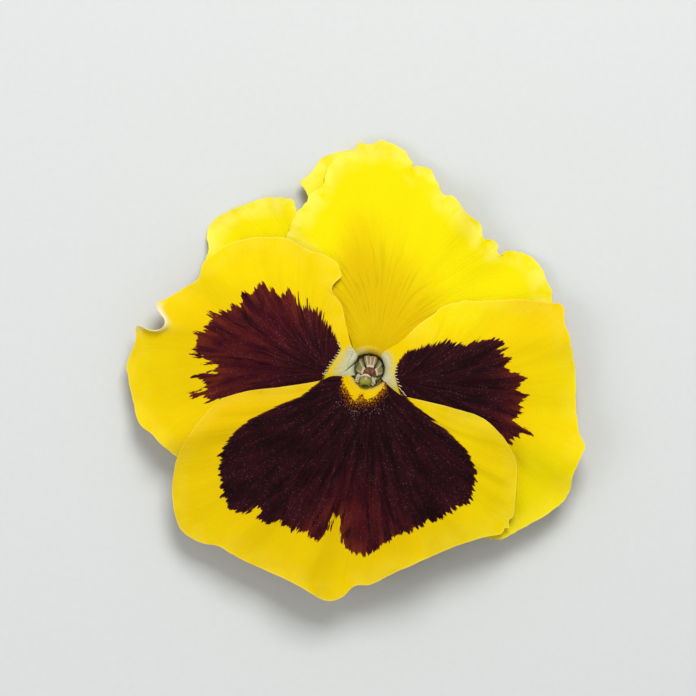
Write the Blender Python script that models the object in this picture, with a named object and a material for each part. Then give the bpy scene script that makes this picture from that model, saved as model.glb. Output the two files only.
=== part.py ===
"""A picked pansy flower, lying face up on its back.

Lengths are in millimetres, and mesh_object turns them into metres. +Z looks out of the
flower's face and +Y is the top of the face. The origin is on the flat underside of the stalk,
straight below the throat. Every blade is a grid of points on its middle surface, thickened both
ways. All petals share one wavy face surface, each on its own layer, so they never cross.
"""
import math
from collections import namedtuple

import bpy
import numpy as np

MM = 0.001
FIT_GAP = 0.3  # clearance where one piece sits on another

# Heights above the surface that the flower lies on
RECEPTACLE_TOP = 8.3
THROAT_RIM = 12.7  # where the blades of the side petals begin

# Petal layers, front to back, as heights above the side petals
LAYER_STEP = 1.1
SEPAL_LAYER = -3.4

# Petals: a narrow claw stands on the receptacle, then flares into the blade
PETAL_THICKNESS = 0.65
CLAW_FOOT_RADIUS = 2.3
CLAW_RADIUS = 3.0
LOWER_CLAW_RADIUS = 3.9
CLAW_BEND = 1.2  # radius of the bend from claw to blade
CLAW_STEEPNESS = 1.7  # height over which a claw widens, per millimetre of widening
CLAW_ROWS = 3
BEND_ROWS = 2
BLADE_ROWS = 11
ROW_CROWDING = 1.25  # above 1, rows lie closer together near the throat

# Face surface that the petals follow
FACE_RADIUS = 40.0
FACE_RISE = 0.9  # the blades first rise a little out of the throat
FACE_RISE_REACH = 3.5
DROOP_POWER = 1.5
# How far the face droops at FACE_RADIUS, by direction in degrees from +X
MARGIN_DROOP = {
    0: 9.0, 36: 15.5, 62: 12.0, 92: 12.0, 130: 12.5, 180: 8.5, 230: 7.5, 272: 5.5, 318: 7.0,
}
# Height at which the face comes to lie on the surface, under the lowest petal there
LIES_FLAT = {0: 1.42, 60: 1.42, 84: 2.53, 150: 2.53, 200: 1.42}
RUFFLE_HEIGHT = 1.3
RUFFLE_START = 15.0
# Waves round the face: waves in a turn, share of the height, angle of the first crest
RUFFLE_WAVES = ((8, 0.50, 20), (13, 0.38, 5), (21, 0.28, 11))
# Broad hollows and swellings of the blades: x, y, half length, half width, axis angle, height
FACE_FORMS = (
    (6.0, 19.0, 15.0, 6.5, 80, -1.5),
    (-17.0, 7.0, 13.0, 7.0, 160, 0.8),
    (20.0, -4.0, 14.0, 8.0, -20, 0.7),
    (-14.0, -19.0, 14.0, 7.0, 235, 0.9),
    (9.0, -19.0, 12.0, 6.0, 290, 0.7),
    (-3.0, -24.0, 14.0, 4.0, 262, -0.8),
)

# Each petal: the angles of its claw from first to last side, both sides from claw to shoulder,
# and the margin between the shoulders, all in plan and taken the same way round
LOWER_CLAW = (215, 325)
LOWER_FIRST_SIDE = ((-6.0, -2.4), (-9.2, -2.4), (-15.3, -3.1), (-21.2, -3.8), (-25.8, -5.1))
LOWER_MARGIN = (
    (-25.8, -5.1), (-29.2, -8.5), (-32.2, -12.7), (-34.3, -18.5), (-34.4, -23.5), (-32.7, -28.4),
    (-29.9, -30.3), (-26.4, -31.0), (-19.4, -34.7), (-11.8, -38.2), (-7.2, -40.6), (-4.6, -39.7),
    (-2.5, -37.9), (0.4, -37.6), (5.0, -35.3), (10.8, -32.7), (17.0, -30.3), (23.6, -28.4),
    (25.1, -26.2), (25.7, -18.5), (25.4, -15.5), (23.3, -11.8),
)
LOWER_LAST_SIDE = ((5.9, -4.3), (9.7, -5.6), (13.7, -6.6), (19.6, -8.5), (23.3, -11.8))

LEFT_CLAW = (152, 207)
LEFT_FIRST_SIDE = ((-3.8, 4.6), (-4.4, 8.2), (-5.5, 12.0), (-6.0, 15.5), (-5.2, 18.6))
LEFT_MARGIN = (
    (-5.2, 18.6), (-10.7, 20.7), (-14.2, 22.8), (-17.7, 23.2), (-24.7, 22.0), (-29.0, 18.7),
    (-31.1, 15.0), (-37.1, 11.6), (-36.2, 8.2), (-38.2, 6.5), (-40.5, 7.7), (-41.2, 3.9),
    (-42.5, 0.6), (-41.4, -5.7), (-40.4, -9.2), (-35.6, -13.8), (-30.5, -17.2), (-24.0, -18.0),
)
LEFT_LAST_SIDE = ((-5.4, -3.4), (-8.5, -7.5), (-13.0, -12.5), (-18.0, -16.2), (-24.0, -18.0))

RIGHT_CLAW = (-27, 28)
RIGHT_FIRST_SIDE = ((5.4, -3.7), (8.0, -8.0), (10.2, -13.5), (11.6, -18.5), (13.0, -22.5))
RIGHT_MARGIN = (
    (13.0, -22.5), (16.0, -27.4), (20.7, -29.8), (23.6, -29.5), (30.0, -26.0), (34.0, -23.2),
    (35.5, -18.5), (37.6, -13.5), (36.4, -9.5), (36.1, -5.7), (35.8, 0.2), (34.2, 7.4),
    (34.0, 10.6), (31.8, 11.8), (28.0, 12.0),
)
RIGHT_LAST_SIDE = ((5.2, 4.4), (7.9, 7.1), (10.8, 9.4), (13.7, 11.2), (17.2, 12.0), (28.0, 12.0))

UPPER_RIGHT_CLAW = (36, 98)
UPPER_RIGHT_FIRST_SIDE = ((5.4, 3.7), (9.0, 5.0), (15.0, 6.5), (22.0, 7.2), (28.5, 7.6))
UPPER_RIGHT_MARGIN = (
    (28.5, 7.6), (31.6, 9.4), (32.0, 12.4), (30.6, 17.6), (27.6, 19.9), (23.7, 20.3),
    (21.9, 22.5), (19.3, 25.7), (14.6, 30.3), (12.6, 32.1), (10.8, 35.0), (7.6, 35.8),
    (5.0, 39.3), (1.7, 39.9), (-1.7, 39.5), (-5.5, 37.3), (-7.5, 34.4), (-8.3, 32.0),
    (-10.6, 29.8), (-12.7, 27.2), (-14.3, 23.4),
)
UPPER_RIGHT_LAST_SIDE = ((-1.2, 6.5), (-3.5, 11.0), (-7.0, 16.0), (-11.0, 20.2), (-14.3, 23.4))

UPPER_LEFT_CLAW = (106, 144)
UPPER_LEFT_FIRST_SIDE = ((-1.5, 7.0), (-1.4, 13.0), (-0.6, 20.0), (0.4, 28.0), (1.5, 34.5))
UPPER_LEFT_MARGIN = (
    (1.5, 34.5), (-0.4, 37.6), (-3.6, 38.5), (-8.3, 37.3), (-10.3, 35.0), (-12.1, 32.6),
    (-12.0, 29.6), (-14.6, 29.7), (-19.4, 29.8), (-25.8, 27.7), (-28.4, 25.0), (-28.8, 21.0),
    (-29.4, 16.0), (-27.5, 10.5),
)
UPPER_LEFT_LAST_SIDE = ((-5.5, 3.7), (-9.0, 5.2), (-15.0, 7.0), (-21.0, 8.8), (-27.5, 10.5))

# Spur behind the lower petal: points down its middle and radii there
SPUR_PATH = (
    (0.0, -3.7, 10.5), (0.0, -3.95, 9.4), (0.0, -4.2, 8.3), (0.0, -4.35, 7.0), (0.0, -4.25, 5.6),
    (0.0, -3.9, 4.3), (0.0, -3.6, 3.6), (0.0, -3.45, 3.2),
)
SPUR_RADII = (0.7, 0.95, 1.1, 1.15, 1.1, 0.95, 0.75, 0.4)
SPUR_SIDES = 14

# Stalk: it lies along -Y under the lower petal, then hooks up into the receptacle
STALK_RADIUS = 1.1
STALK_NECK_RADIUS = 0.95
STALK_SIDES = 10
STALK_CUT_Y = -37.0
STALK_SWAY = 1.4  # how far it bends aside in plan by its cut end
STALK_SWAY_START_Y = -2.0
STALK_STRAIGHT_POINTS = 14
HOOK_START_Y = 0.8
HOOK_RADIUS = 2.8
HOOK_TURN = 150
HOOK_STEPS = 9
RECEPTACLE_PROFILE = ((1.0, 5.9), (1.9, 6.5), (2.6, 7.2), (2.6, 8.1), (2.4, RECEPTACLE_TOP))
RECEPTACLE_SIDES = 20

# Bracteoles: scale leaves at the two sides of the stalk
BRACTEOLE_Y = -12.0
BRACTEOLE_LENGTH = 4.2
BRACTEOLE_WIDTH = 1.3
BRACTEOLE_SPREAD = 18
BRACTEOLE_RISE = 0.3
BLADE_THICKNESS = 0.62

# Sepals: direction of each in degrees, half width where it passes its neighbours
SEPALS = {
    "sepal_top": (90, 1.8),
    "sepal_upper_left": (162, 1.8),
    "sepal_lower_left": (234, 0.95),
    "sepal_lower_right": (306, 0.95),
    "sepal_upper_right": (18, 1.8),
}
SEPAL_REACH = 16.5  # from the throat's axis to the tip
SEPAL_WIDTH = 5.2
SEPAL_TIP_HALF_WIDTH = 0.35
SEPAL_SWELL_START = 0.2  # the blade's outline is this part of a half wave
SEPAL_SWELL = 0.72
SEPAL_NECK = 0.38  # share of the blade over which the neck widens
SEPAL_CUP = 0.5
SEPAL_ROWS = 10
SEPAL_COLUMNS = 4
SEPAL_BEND_STEP = 0.9
SEPAL_SEAT_RADIUS = RECEPTACLE_PROFILE[2][0] + FIT_GAP + BLADE_THICKNESS / 2
EAR_LENGTH = 3.0
TOP_EAR_LENGTH = 1.6  # the hook of the stalk leaves less room at the top
TOP_EAR_SLANT = 48
EAR_SLANT = 12
EAR_TIP_SHARE = 0.55  # width of the ear's end, as a share of its neck
EAR_ROUND_ROWS = 3

# Anther cone: outer and inner radius by height above the receptacle
ANTHERS = 5
ANTHER_LOBE = 0.07
CONE_OUTER = ((1.62, 0.3), (1.95, 1.0), (2.15, 2.0), (2.05, 3.0), (1.7, 3.9), (1.35, 4.5))
CONE_INNER = ((0.72, 4.5), (1.05, 3.6), (1.15, 2.0), (1.05, 0.3))
CONE_SIDES = 30

# Pistil: points up its middle, and radii there
PISTIL_PATH = (
    (0.0, 0.0, 8.6), (0.0, 0.0, 9.0), (0.0, 0.0, 9.7), (0.0, 0.0, 10.4), (0.0, 0.0, 10.9),
    (0.0, 0.0, 12.2), (-0.04, -0.12, 12.9), (-0.18, -0.52, 13.4), (-0.34, -1.0, 13.65),
)
PISTIL_RADII = (0.4, 0.65, 0.75, 0.6, 0.36, 0.34, 0.34, 0.34, 0.36)
HEAD_CENTRE = (-0.7, -2.1, 14.1)
HEAD_RADIUS = 1.1
STIGMA_HOLLOW = 0.35
PISTIL_SIDES = 14
# Rings of the head, in degrees from its far end, and the width of its hollow's floor
HEAD_TURNS = np.linspace(150.0, 20.0, 7)
HOLLOW_NARROWING = 0.6

# Materials: colour, roughness
YELLOW_PETAL = ((0.89, 0.66, 0.01), 0.55)
REAR_YELLOW_PETAL = ((0.97, 0.87, 0.03), 0.55)
GREEN_STALK = ((0.16, 0.27, 0.02), 0.5)
GREEN_SEPAL = ((0.13, 0.22, 0.01), 0.5)
TAN_ANTHER = ((0.42, 0.28, 0.10), 0.6)
GREEN_PISTIL = ((0.35, 0.32, 0.05), 0.4)

# Columns are the steps across a petal
Petal = namedtuple("Petal", "claw claw_radius first_side margin last_side columns layer look")
PETALS = {
    "petal_upper_left": Petal(
        UPPER_LEFT_CLAW, CLAW_RADIUS, UPPER_LEFT_FIRST_SIDE, UPPER_LEFT_MARGIN,
        UPPER_LEFT_LAST_SIDE, columns=24, layer=-2 * LAYER_STEP, look=REAR_YELLOW_PETAL,
    ),
    "petal_upper_right": Petal(
        UPPER_RIGHT_CLAW, CLAW_RADIUS, UPPER_RIGHT_FIRST_SIDE, UPPER_RIGHT_MARGIN,
        UPPER_RIGHT_LAST_SIDE, columns=34, layer=-LAYER_STEP, look=REAR_YELLOW_PETAL,
    ),
    "petal_lateral_left": Petal(
        LEFT_CLAW, CLAW_RADIUS, LEFT_FIRST_SIDE, LEFT_MARGIN,
        LEFT_LAST_SIDE, columns=28, layer=0.0, look=YELLOW_PETAL,
    ),
    "petal_lateral_right": Petal(
        RIGHT_CLAW, CLAW_RADIUS, RIGHT_FIRST_SIDE, RIGHT_MARGIN,
        RIGHT_LAST_SIDE, columns=26, layer=0.0, look=YELLOW_PETAL,
    ),
    "petal_lower": Petal(
        LOWER_CLAW, LOWER_CLAW_RADIUS, LOWER_FIRST_SIDE, LOWER_MARGIN,
        LOWER_LAST_SIDE, columns=34, layer=LAYER_STEP, look=YELLOW_PETAL,
    ),
}


def smoothstep(start, end, value):
    """0 below start, 1 above end and an even ease between."""
    share = np.clip((value - start) / (end - start), 0.0, 1.0)
    return share * share * (3.0 - 2.0 * share)


def around(values, angle):
    """The eased value at an angle in degrees, from a few values round the flower, 0 among them."""
    angle = np.mod(angle, 360.0)
    known = sorted(values)
    result = np.zeros_like(angle)
    for start, end in zip(known, known[1:] + [360]):
        first, last = values[start], values[end % 360]
        eased = first + (last - first) * smoothstep(start, end, angle)
        result = np.where((angle >= start) & (angle < end), eased, result)
    return result


def face_height(x, y):
    """Height of the face surface, on the side petals' layer."""
    radius = np.hypot(x, y)
    angle = np.degrees(np.arctan2(y, x))
    blade_start = CLAW_RADIUS + CLAW_BEND
    out = np.maximum(radius - blade_start, 0.0)
    height = THROAT_RIM + FACE_RISE * (1.0 - np.exp(-out / FACE_RISE_REACH))
    height -= around(MARGIN_DROOP, angle) * (out / (FACE_RADIUS - blade_start)) ** DROOP_POWER
    ruffle = sum(
        share * np.cos(np.radians(waves * (angle - crest))) for waves, share, crest in RUFFLE_WAVES
    )
    height += RUFFLE_HEIGHT * smoothstep(RUFFLE_START, FACE_RADIUS, radius) * ruffle
    for form_x, form_y, length, width, axis, rise in FACE_FORMS:
        along_x, along_y = math.cos(math.radians(axis)), math.sin(math.radians(axis))
        along = (x - form_x) * along_x + (y - form_y) * along_y
        across = (y - form_y) * along_x - (x - form_x) * along_y
        height += rise * np.exp(-((along / length) ** 2) - (across / width) ** 2)
    return np.maximum(height, around(LIES_FLAT, angle))


def smooth_curve(points, shares):
    """Points at the given shares of the length of a smooth curve through the given ones."""
    knots = np.array(points, dtype=float)
    ends = np.vstack((2 * knots[0] - knots[1], knots, 2 * knots[-1] - knots[-2]))
    steps = np.linspace(0.0, 1.0, 16, endpoint=False)[:, None]
    pieces = []
    for p0, p1, p2, p3 in zip(ends, ends[1:], ends[2:], ends[3:]):
        tangent = 2 * p1 + (p2 - p0) * steps
        bend = (2 * p0 - 5 * p1 + 4 * p2 - p3) * steps**2
        twist = (3 * p1 - 3 * p2 + p3 - p0) * steps**3
        pieces.append((tangent + bend + twist) / 2)
    curve = np.vstack(pieces + [knots[-1:]])
    length = np.concatenate(([0.0], np.cumsum(np.linalg.norm(np.diff(curve, axis=0), axis=1))))
    return np.stack(
        [np.interp(np.array(shares) * length[-1], length, axis) for axis in curve.T], axis=-1
    )


def blade_plan(foot, first_side, margin, last_side, rows):
    """Plan points of a blade between its foot, its two sides and its margin."""
    u = rows[:, None, None]
    v = np.linspace(0.0, 1.0, len(foot))[None, :, None]
    between_sides = (1 - v) * first_side[:, None] + v * last_side[:, None]
    foot_to_margin = (1 - u) * foot[None] + u * margin[None]
    corners = (1 - u) * ((1 - v) * foot[0] + v * foot[-1])
    corners = corners + u * ((1 - v) * margin[0] + v * margin[-1])
    return between_sides + foot_to_margin - corners


def petal_grid(petal):
    """Middle surface of a petal, from the claw's foot on the receptacle to the margin."""
    angles = np.radians(np.linspace(petal.claw[0], petal.claw[1], petal.columns + 1))
    way_out = np.stack((np.cos(angles), np.sin(angles)), axis=-1)
    foot = way_out * (petal.claw_radius + CLAW_BEND)
    rim = face_height(foot[:, 0], foot[:, 1]) + petal.layer
    claw_foot = RECEPTACLE_TOP + FIT_GAP + PETAL_THICKNESS / 4
    claw_top = rim - CLAW_BEND
    widening = petal.claw_radius - CLAW_FOOT_RADIUS
    wide_at = np.minimum(claw_foot + CLAW_STEEPNESS * widening, claw_top)
    grid = []
    for share in np.linspace(0.0, 1.0, CLAW_ROWS):
        height = claw_foot + share * (claw_top - claw_foot)
        radius = CLAW_FOOT_RADIUS + widening * smoothstep(claw_foot, wide_at, height)
        grid.append(np.column_stack((way_out * radius[:, None], height)))
    for turn in np.radians(np.linspace(0.0, 90.0, BEND_ROWS + 2)[1:-1]):
        radius = petal.claw_radius + CLAW_BEND * (1.0 - math.cos(turn))
        height = rim - CLAW_BEND * (1.0 - math.sin(turn))
        grid.append(np.column_stack((way_out * radius, height)))

    rows = np.linspace(0.0, 1.0, BLADE_ROWS + 1) ** ROW_CROWDING
    plan = blade_plan(
        foot,
        smooth_curve((foot[0], *petal.first_side), rows),
        smooth_curve(petal.margin, np.linspace(0.0, 1.0, petal.columns + 1)),
        smooth_curve((foot[-1], *petal.last_side), rows),
        rows,
    )
    height = face_height(plan[..., 0], plan[..., 1]) + petal.layer
    return np.concatenate((np.array(grid), np.dstack((plan, height))))


def material(name, look):
    """A plain material of one colour."""
    colour, roughness = look
    made = bpy.data.materials.new(name)
    made.use_nodes = True
    shader = made.node_tree.nodes["Principled BSDF"]
    shader.inputs["Base Color"].default_value = (*colour, 1.0)
    shader.inputs["Roughness"].default_value = roughness
    shader.inputs["Metallic"].default_value = 0.0
    made.diffuse_color = (*colour, 1.0)
    return made


def mesh_object(name, points, faces, look):
    """An object of its own, smooth shaded, with a material of its own."""
    mesh = bpy.data.meshes.new(name)
    mesh.from_pydata((np.array(points) * MM).tolist(), [], faces)
    mesh.shade_smooth()
    mesh.set_sharp_from_angle(angle=math.radians(50))
    mesh.materials.append(material(name + "_material", look))
    made = bpy.data.objects.new(name, mesh)
    bpy.context.scene.collection.objects.link(made)
    return made


def blade(name, grid, thickness, look):
    """A solid blade. Triangles are laid before it is thickened, so both faces are alike."""
    rows, columns = grid.shape[:2]
    faces = []
    for row in range(rows - 1):
        for column in range(columns - 1):
            a = row * columns + column
            b, c, d = a + 1, a + columns + 1, a + columns
            if (row + column) % 2:
                faces += [(a, d, c), (a, c, b)]
            else:
                faces += [(a, d, b), (b, d, c)]
    made = mesh_object(name, grid.reshape(-1, 3), faces, look)
    solid = made.modifiers.new("Thickness", "SOLIDIFY")
    solid.thickness = thickness * MM
    solid.offset = 0.0
    return made


def tube(name, path, radii, sides, look):
    """A solid round bar along a path near the YZ plane, with a flat side below."""
    path = np.array(path, dtype=float)
    along = np.gradient(path, axis=0)
    along /= np.linalg.norm(along, axis=1)[:, None]
    turns = 2 * math.pi * (np.arange(sides) + 0.5) / sides - math.pi / 2
    points = []
    for centre, way, radius in zip(path, along, radii):
        aside = np.array((1.0, 0.0, 0.0)) - way[0] * way
        aside /= np.linalg.norm(aside)
        above = np.cross(aside, way)
        for turn in turns:
            points.append(centre + radius * (math.cos(turn) * aside + math.sin(turn) * above))
    faces = [tuple(range(sides))]
    for ring in range(len(path) - 1):
        for side in range(sides):
            a = ring * sides + side
            b = ring * sides + (side + 1) % sides
            faces.append((a, a + sides, b + sides, b))
    faces.append(tuple(reversed(range(len(points) - sides, len(points)))))
    return mesh_object(name, points, faces, look)


def turned(name, profile, sides, look, closed, lobes=0, lobe=0.0):
    """A solid turned about the throat's axis, from a profile of radius and height.

    A closed profile makes a ring. An open one runs up the outside and gets flat ends.
    """
    points = []
    for radius, height in profile:
        for side in range(sides):
            turn = 2 * math.pi * side / sides
            here = radius * (1.0 + lobe * math.cos(lobes * turn))
            points.append((here * math.cos(turn), here * math.sin(turn), height))
    faces = []
    rings = len(profile)
    for ring in range(rings if closed else rings - 1):
        for side in range(sides):
            a, b = ring * sides + side, ring * sides + (side + 1) % sides
            c, d = [(corner + sides) % (rings * sides) for corner in (b, a)]
            faces.append((a, b, c, d))
    if not closed:
        faces.append(tuple(reversed(range(sides))))
        faces.append(tuple(range((rings - 1) * sides, rings * sides)))
    return mesh_object(name, points, faces, look)


def join(made, piece):
    """Grows piece onto made, which keeps its name. The piece stays as a hidden guide."""
    union = made.modifiers.new("Grown on", "BOOLEAN")
    union.operation = "UNION"
    union.solver = "EXACT"
    union.object = piece
    piece.hide_render = True
    piece.display_type = "WIRE"


def stalk_x(y):
    """How far the stalk has bent aside at y."""
    return STALK_SWAY * smoothstep(STALK_SWAY_START_Y, STALK_CUT_Y, y)


def make_stalk():
    """Stalk, hook and receptacle."""
    lying_height = STALK_RADIUS * math.cos(math.pi / STALK_SIDES)
    path, radii = [], []
    for y in np.linspace(STALK_CUT_Y, HOOK_START_Y, STALK_STRAIGHT_POINTS, endpoint=False):
        path.append((stalk_x(y), y, lying_height))
        radii.append(STALK_RADIUS)
    for turn in np.linspace(0.0, HOOK_TURN, HOOK_STEPS):
        angle = math.radians(turn - 90)
        share = turn / HOOK_TURN
        path.append((
            0.0,
            HOOK_START_Y + HOOK_RADIUS * math.cos(angle),
            lying_height + HOOK_RADIUS * (1.0 + math.sin(angle)),
        ))
        radii.append(STALK_RADIUS + (STALK_NECK_RADIUS - STALK_RADIUS) * share)
    path.append((0.0, 0.0, RECEPTACLE_PROFILE[2][1]))
    radii.append(STALK_NECK_RADIUS)
    stalk = tube("flower_stalk", path, radii, STALK_SIDES, GREEN_STALK)
    receptacle = turned(
        "receptacle_guide", RECEPTACLE_PROFILE, RECEPTACLE_SIDES, GREEN_STALK, closed=False
    )
    join(stalk, receptacle)


def make_bracteoles():
    """The two scale leaves, as narrow blades that point along the stalk."""
    spread = math.radians(BRACTEOLE_SPREAD)
    seat = STALK_RADIUS + FIT_GAP + BLADE_THICKNESS / 2
    for name, side in (("bracteole_left", -1), ("bracteole_right", 1)):
        rows = []
        for share in np.linspace(0.0, 1.0, 7):
            x = stalk_x(BRACTEOLE_Y) + side * (seat + share * BRACTEOLE_LENGTH * math.sin(spread))
            y = BRACTEOLE_Y + share * BRACTEOLE_LENGTH * math.cos(spread)
            half = BRACTEOLE_WIDTH / 2 * math.sqrt(max(1.0 - share**2, 0.06))
            middle = STALK_RADIUS + BRACTEOLE_RISE * share
            rows.append([(x, y, middle + side * half * across) for across in (-1, 0, 1)])
        blade(name, np.array(rows), BLADE_THICKNESS, GREEN_SEPAL)


def sepal_line(ear_length, ear_slant):
    """Middle line of a sepal as radius and height: up its ear, over its seat, out to its tip."""
    slant = math.radians(ear_slant)
    seat = np.array((SEPAL_SEAT_RADIUS, RECEPTACLE_TOP - 0.4))
    ear = [
        seat + ear_length * share * np.array((math.sin(slant), -math.cos(slant)))
        for share in (1.0, 0.75, 0.5, 0.25)
    ]
    bend = [
        seat,
        np.array((SEPAL_SEAT_RADIUS + 0.2, RECEPTACLE_TOP + 0.15)),
        np.array((SEPAL_SEAT_RADIUS + 0.75, RECEPTACLE_TOP + 0.5)),
    ]
    return np.array(ear + bend)


def sepal_half_width(share, neck_half_width):
    """Half the width of a sepal's blade, by its share of the way from its seat to its tip."""
    swell = math.sin(math.pi * min(SEPAL_SWELL_START + SEPAL_SWELL * share, 1.0))
    half = max(SEPAL_WIDTH / 2 * swell * (1.0 - share**4), SEPAL_TIP_HALF_WIDTH)
    return neck_half_width + (half - neck_half_width) * smoothstep(0.0, SEPAL_NECK, share)


def make_sepals():
    """Five sepals between the petals' claws, flat against the backs of the petals."""
    over = np.linspace(-1.0, 1.0, SEPAL_COLUMNS + 1)
    for name, (direction, neck_half_width) in SEPALS.items():
        top = name == "sepal_top"
        line = sepal_line(TOP_EAR_LENGTH if top else EAR_LENGTH, TOP_EAR_SLANT if top else EAR_SLANT)
        out = np.array((math.cos(math.radians(direction)), math.sin(math.radians(direction))))
        aside = np.array((-out[1], out[0]))
        rows = []
        for index, (radius, height) in enumerate(line):
            rounded = math.sqrt(min(index / EAR_ROUND_ROWS, 1.0))
            half = neck_half_width * (EAR_TIP_SHARE + (1.0 - EAR_TIP_SHARE) * rounded)
            rows.append([(*(out * radius + aside * half * across), height) for across in over])
        for share in np.linspace(0.0, 1.0, SEPAL_ROWS + 1):
            blade_start = line[-1][0] + SEPAL_BEND_STEP
            radius = blade_start + share * (SEPAL_REACH - blade_start)
            half = sepal_half_width(share, neck_half_width)
            plan = out * radius + aside * half * over[:, None]
            cup = SEPAL_CUP * (1.0 - over**2) * smoothstep(0.0, SEPAL_NECK, share)
            height = face_height(plan[:, 0], plan[:, 1]) + SEPAL_LAYER - cup
            rows.append(np.column_stack((plan, np.maximum(height, BLADE_THICKNESS / 2))))
        blade(name, np.array(rows), BLADE_THICKNESS, GREEN_SEPAL)


def make_petals():
    """Five petals, and the spur grown onto the lower one."""
    made = {
        name: blade(name, petal_grid(petal), PETAL_THICKNESS, petal.look)
        for name, petal in PETALS.items()
    }
    spur = tube("spur_guide", SPUR_PATH, SPUR_RADII, SPUR_SIDES, YELLOW_PETAL)
    join(made["petal_lower"], spur)


def make_anther_cone():
    """Five anthers side by side round the ovary."""
    profile = [(radius, RECEPTACLE_TOP + height) for radius, height in CONE_OUTER + CONE_INNER]
    turned(
        "anther_cone", profile, CONE_SIDES, TAN_ANTHER, closed=True, lobes=ANTHERS, lobe=ANTHER_LOBE
    )


def make_pistil():
    """Ovary, style and the round head with the hollow of the stigma at its end."""
    path = [np.array(point) for point in PISTIL_PATH]
    radii = list(PISTIL_RADII)
    centre = np.array(HEAD_CENTRE)
    way = centre - path[-1]
    way /= np.linalg.norm(way)
    for turn in np.radians(HEAD_TURNS):
        path.append(centre + way * HEAD_RADIUS * math.cos(turn))
        radii.append(HEAD_RADIUS * math.sin(turn))
    path.append(centre + way * (HEAD_RADIUS - STIGMA_HOLLOW))
    radii.append(radii[-1] * HOLLOW_NARROWING)
    tube("pistil", path, radii, PISTIL_SIDES, GREEN_PISTIL)


def main():
    for existing in list(bpy.data.objects):
        bpy.data.objects.remove(existing, do_unlink=True)
    make_stalk()
    make_bracteoles()
    make_sepals()
    make_petals()
    make_anther_cone()
    make_pistil()


main()
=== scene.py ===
"""The looks of a picked pansy flower that lies face up on its back, seen from straight above.

Shapes are worked out in millimetres and turned into metres as each mesh is made. The petals
follow the same wavy face surface and outlines as the frame's, with finer margins and pleats.
"""

import math
from types import SimpleNamespace

import bpy
import numpy as np
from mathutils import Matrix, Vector


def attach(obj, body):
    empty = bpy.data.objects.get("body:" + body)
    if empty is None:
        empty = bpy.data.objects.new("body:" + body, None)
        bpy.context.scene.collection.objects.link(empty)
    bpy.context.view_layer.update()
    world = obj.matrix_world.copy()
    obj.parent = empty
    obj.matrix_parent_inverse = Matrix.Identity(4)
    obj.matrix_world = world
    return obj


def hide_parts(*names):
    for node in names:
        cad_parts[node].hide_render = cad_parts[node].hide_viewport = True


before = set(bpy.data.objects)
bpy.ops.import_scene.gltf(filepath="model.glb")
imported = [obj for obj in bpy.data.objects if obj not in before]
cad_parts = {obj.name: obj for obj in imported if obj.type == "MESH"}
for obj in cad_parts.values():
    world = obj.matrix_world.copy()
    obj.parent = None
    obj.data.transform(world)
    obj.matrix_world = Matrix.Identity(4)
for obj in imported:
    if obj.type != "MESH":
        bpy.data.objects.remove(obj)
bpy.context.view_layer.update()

MM = 0.001
BODY = "root"

# Camera: straight above, with the throat at this pixel of the photograph's frame
FRAME_PIXELS = 696
THROAT_PIXEL = (369.5, 369.0)
MM_PER_PIXEL = 0.1743
CAMERA_DISTANCE = 1500.0
SENSOR_WIDTH = 36.0

# Heights and layers, as in the frame
FIT_GAP = 0.3
RECEPTACLE_TOP = 8.3
THROAT_RIM = 12.7
LAYER_STEP = 1.1
SEPAL_LAYER = -3.4

# Face surface, as in the frame
BLADE_START = 4.2
FACE_RADIUS = 40.0
FACE_RISE = 0.9
FACE_RISE_REACH = 3.5
DROOP_POWER = 1.5
MARGIN_DROOP = {
    0: 9.0, 36: 15.5, 62: 12.0, 92: 12.0, 130: 12.5, 180: 8.5, 230: 7.5, 272: 5.5, 318: 7.0,
}
LIES_FLAT = {0: 1.42, 60: 1.42, 84: 2.53, 150: 2.53, 200: 1.42}
RUFFLE_HEIGHT = 1.3
RUFFLE_START = 15.0
RUFFLE_WAVES = ((8, 0.50, 20), (13, 0.38, 5), (21, 0.28, 11))
FACE_FORMS = (
    (6.0, 19.0, 15.0, 6.5, 80, -1.5),
    (-17.0, 7.0, 13.0, 7.0, 160, 0.8),
    (20.0, -4.0, 14.0, 8.0, -20, 0.7),
    (-14.0, -19.0, 14.0, 7.0, 235, 0.9),
    (9.0, -19.0, 12.0, 6.0, 290, 0.7),
    (-3.0, -24.0, 14.0, 4.0, 262, -0.8),
)

# Claws: each widens past its neighbours where it bends out over them
CLAW_FOOT_RADIUS = 2.3
CLAW_RADIUS = 2.75
LOWER_CLAW_RADIUS = 3.3
CLAW_BEND = 1.2
CLAW_STEEPNESS = 1.7
CLAW_WIDENS = (5, 60)  # in degrees of the bend

# Petal meshes
CLAW_ROWS = 10
BEND_ROWS = 12
BLADE_ROWS = 110
ROW_CROWDING = 1.15
# The margin's notches reach this little into the rows of the mesh
SOFTENING_PASSES = 300
NOTCH_POWER = 10
PETAL_THICKNESS = 0.32
MARGIN_THICKNESS = 0.14
THINNING_REACH = 6.0
COLUMN_WIDTH = 0.5  # of the margin's length, for each column
# Small scallops of the outlines: length and height, scaled by each petal's scallop value
SCALLOPS = ((5.2, 0.34), (2.6, 0.26), (1.3, 0.13))
SCALLOP_START = 9.0  # the outlines stay smooth this near the throat
# Crinkles along the margin: size, height and how far in they reach
CRINKLES = ((7.0, 0.55, 5.0), (3.2, 0.26, 2.6), (1.6, 0.09, 1.5))
CRINKLE_LIFT = 0.25  # share of a crinkle's height that always lifts the petal
LIP_HEIGHT = 0.35  # the very margin curls up, scaled by each petal's lip value
LIP_REACH = 1.0
LIP_CURL_SIZE = 3.5
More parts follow.
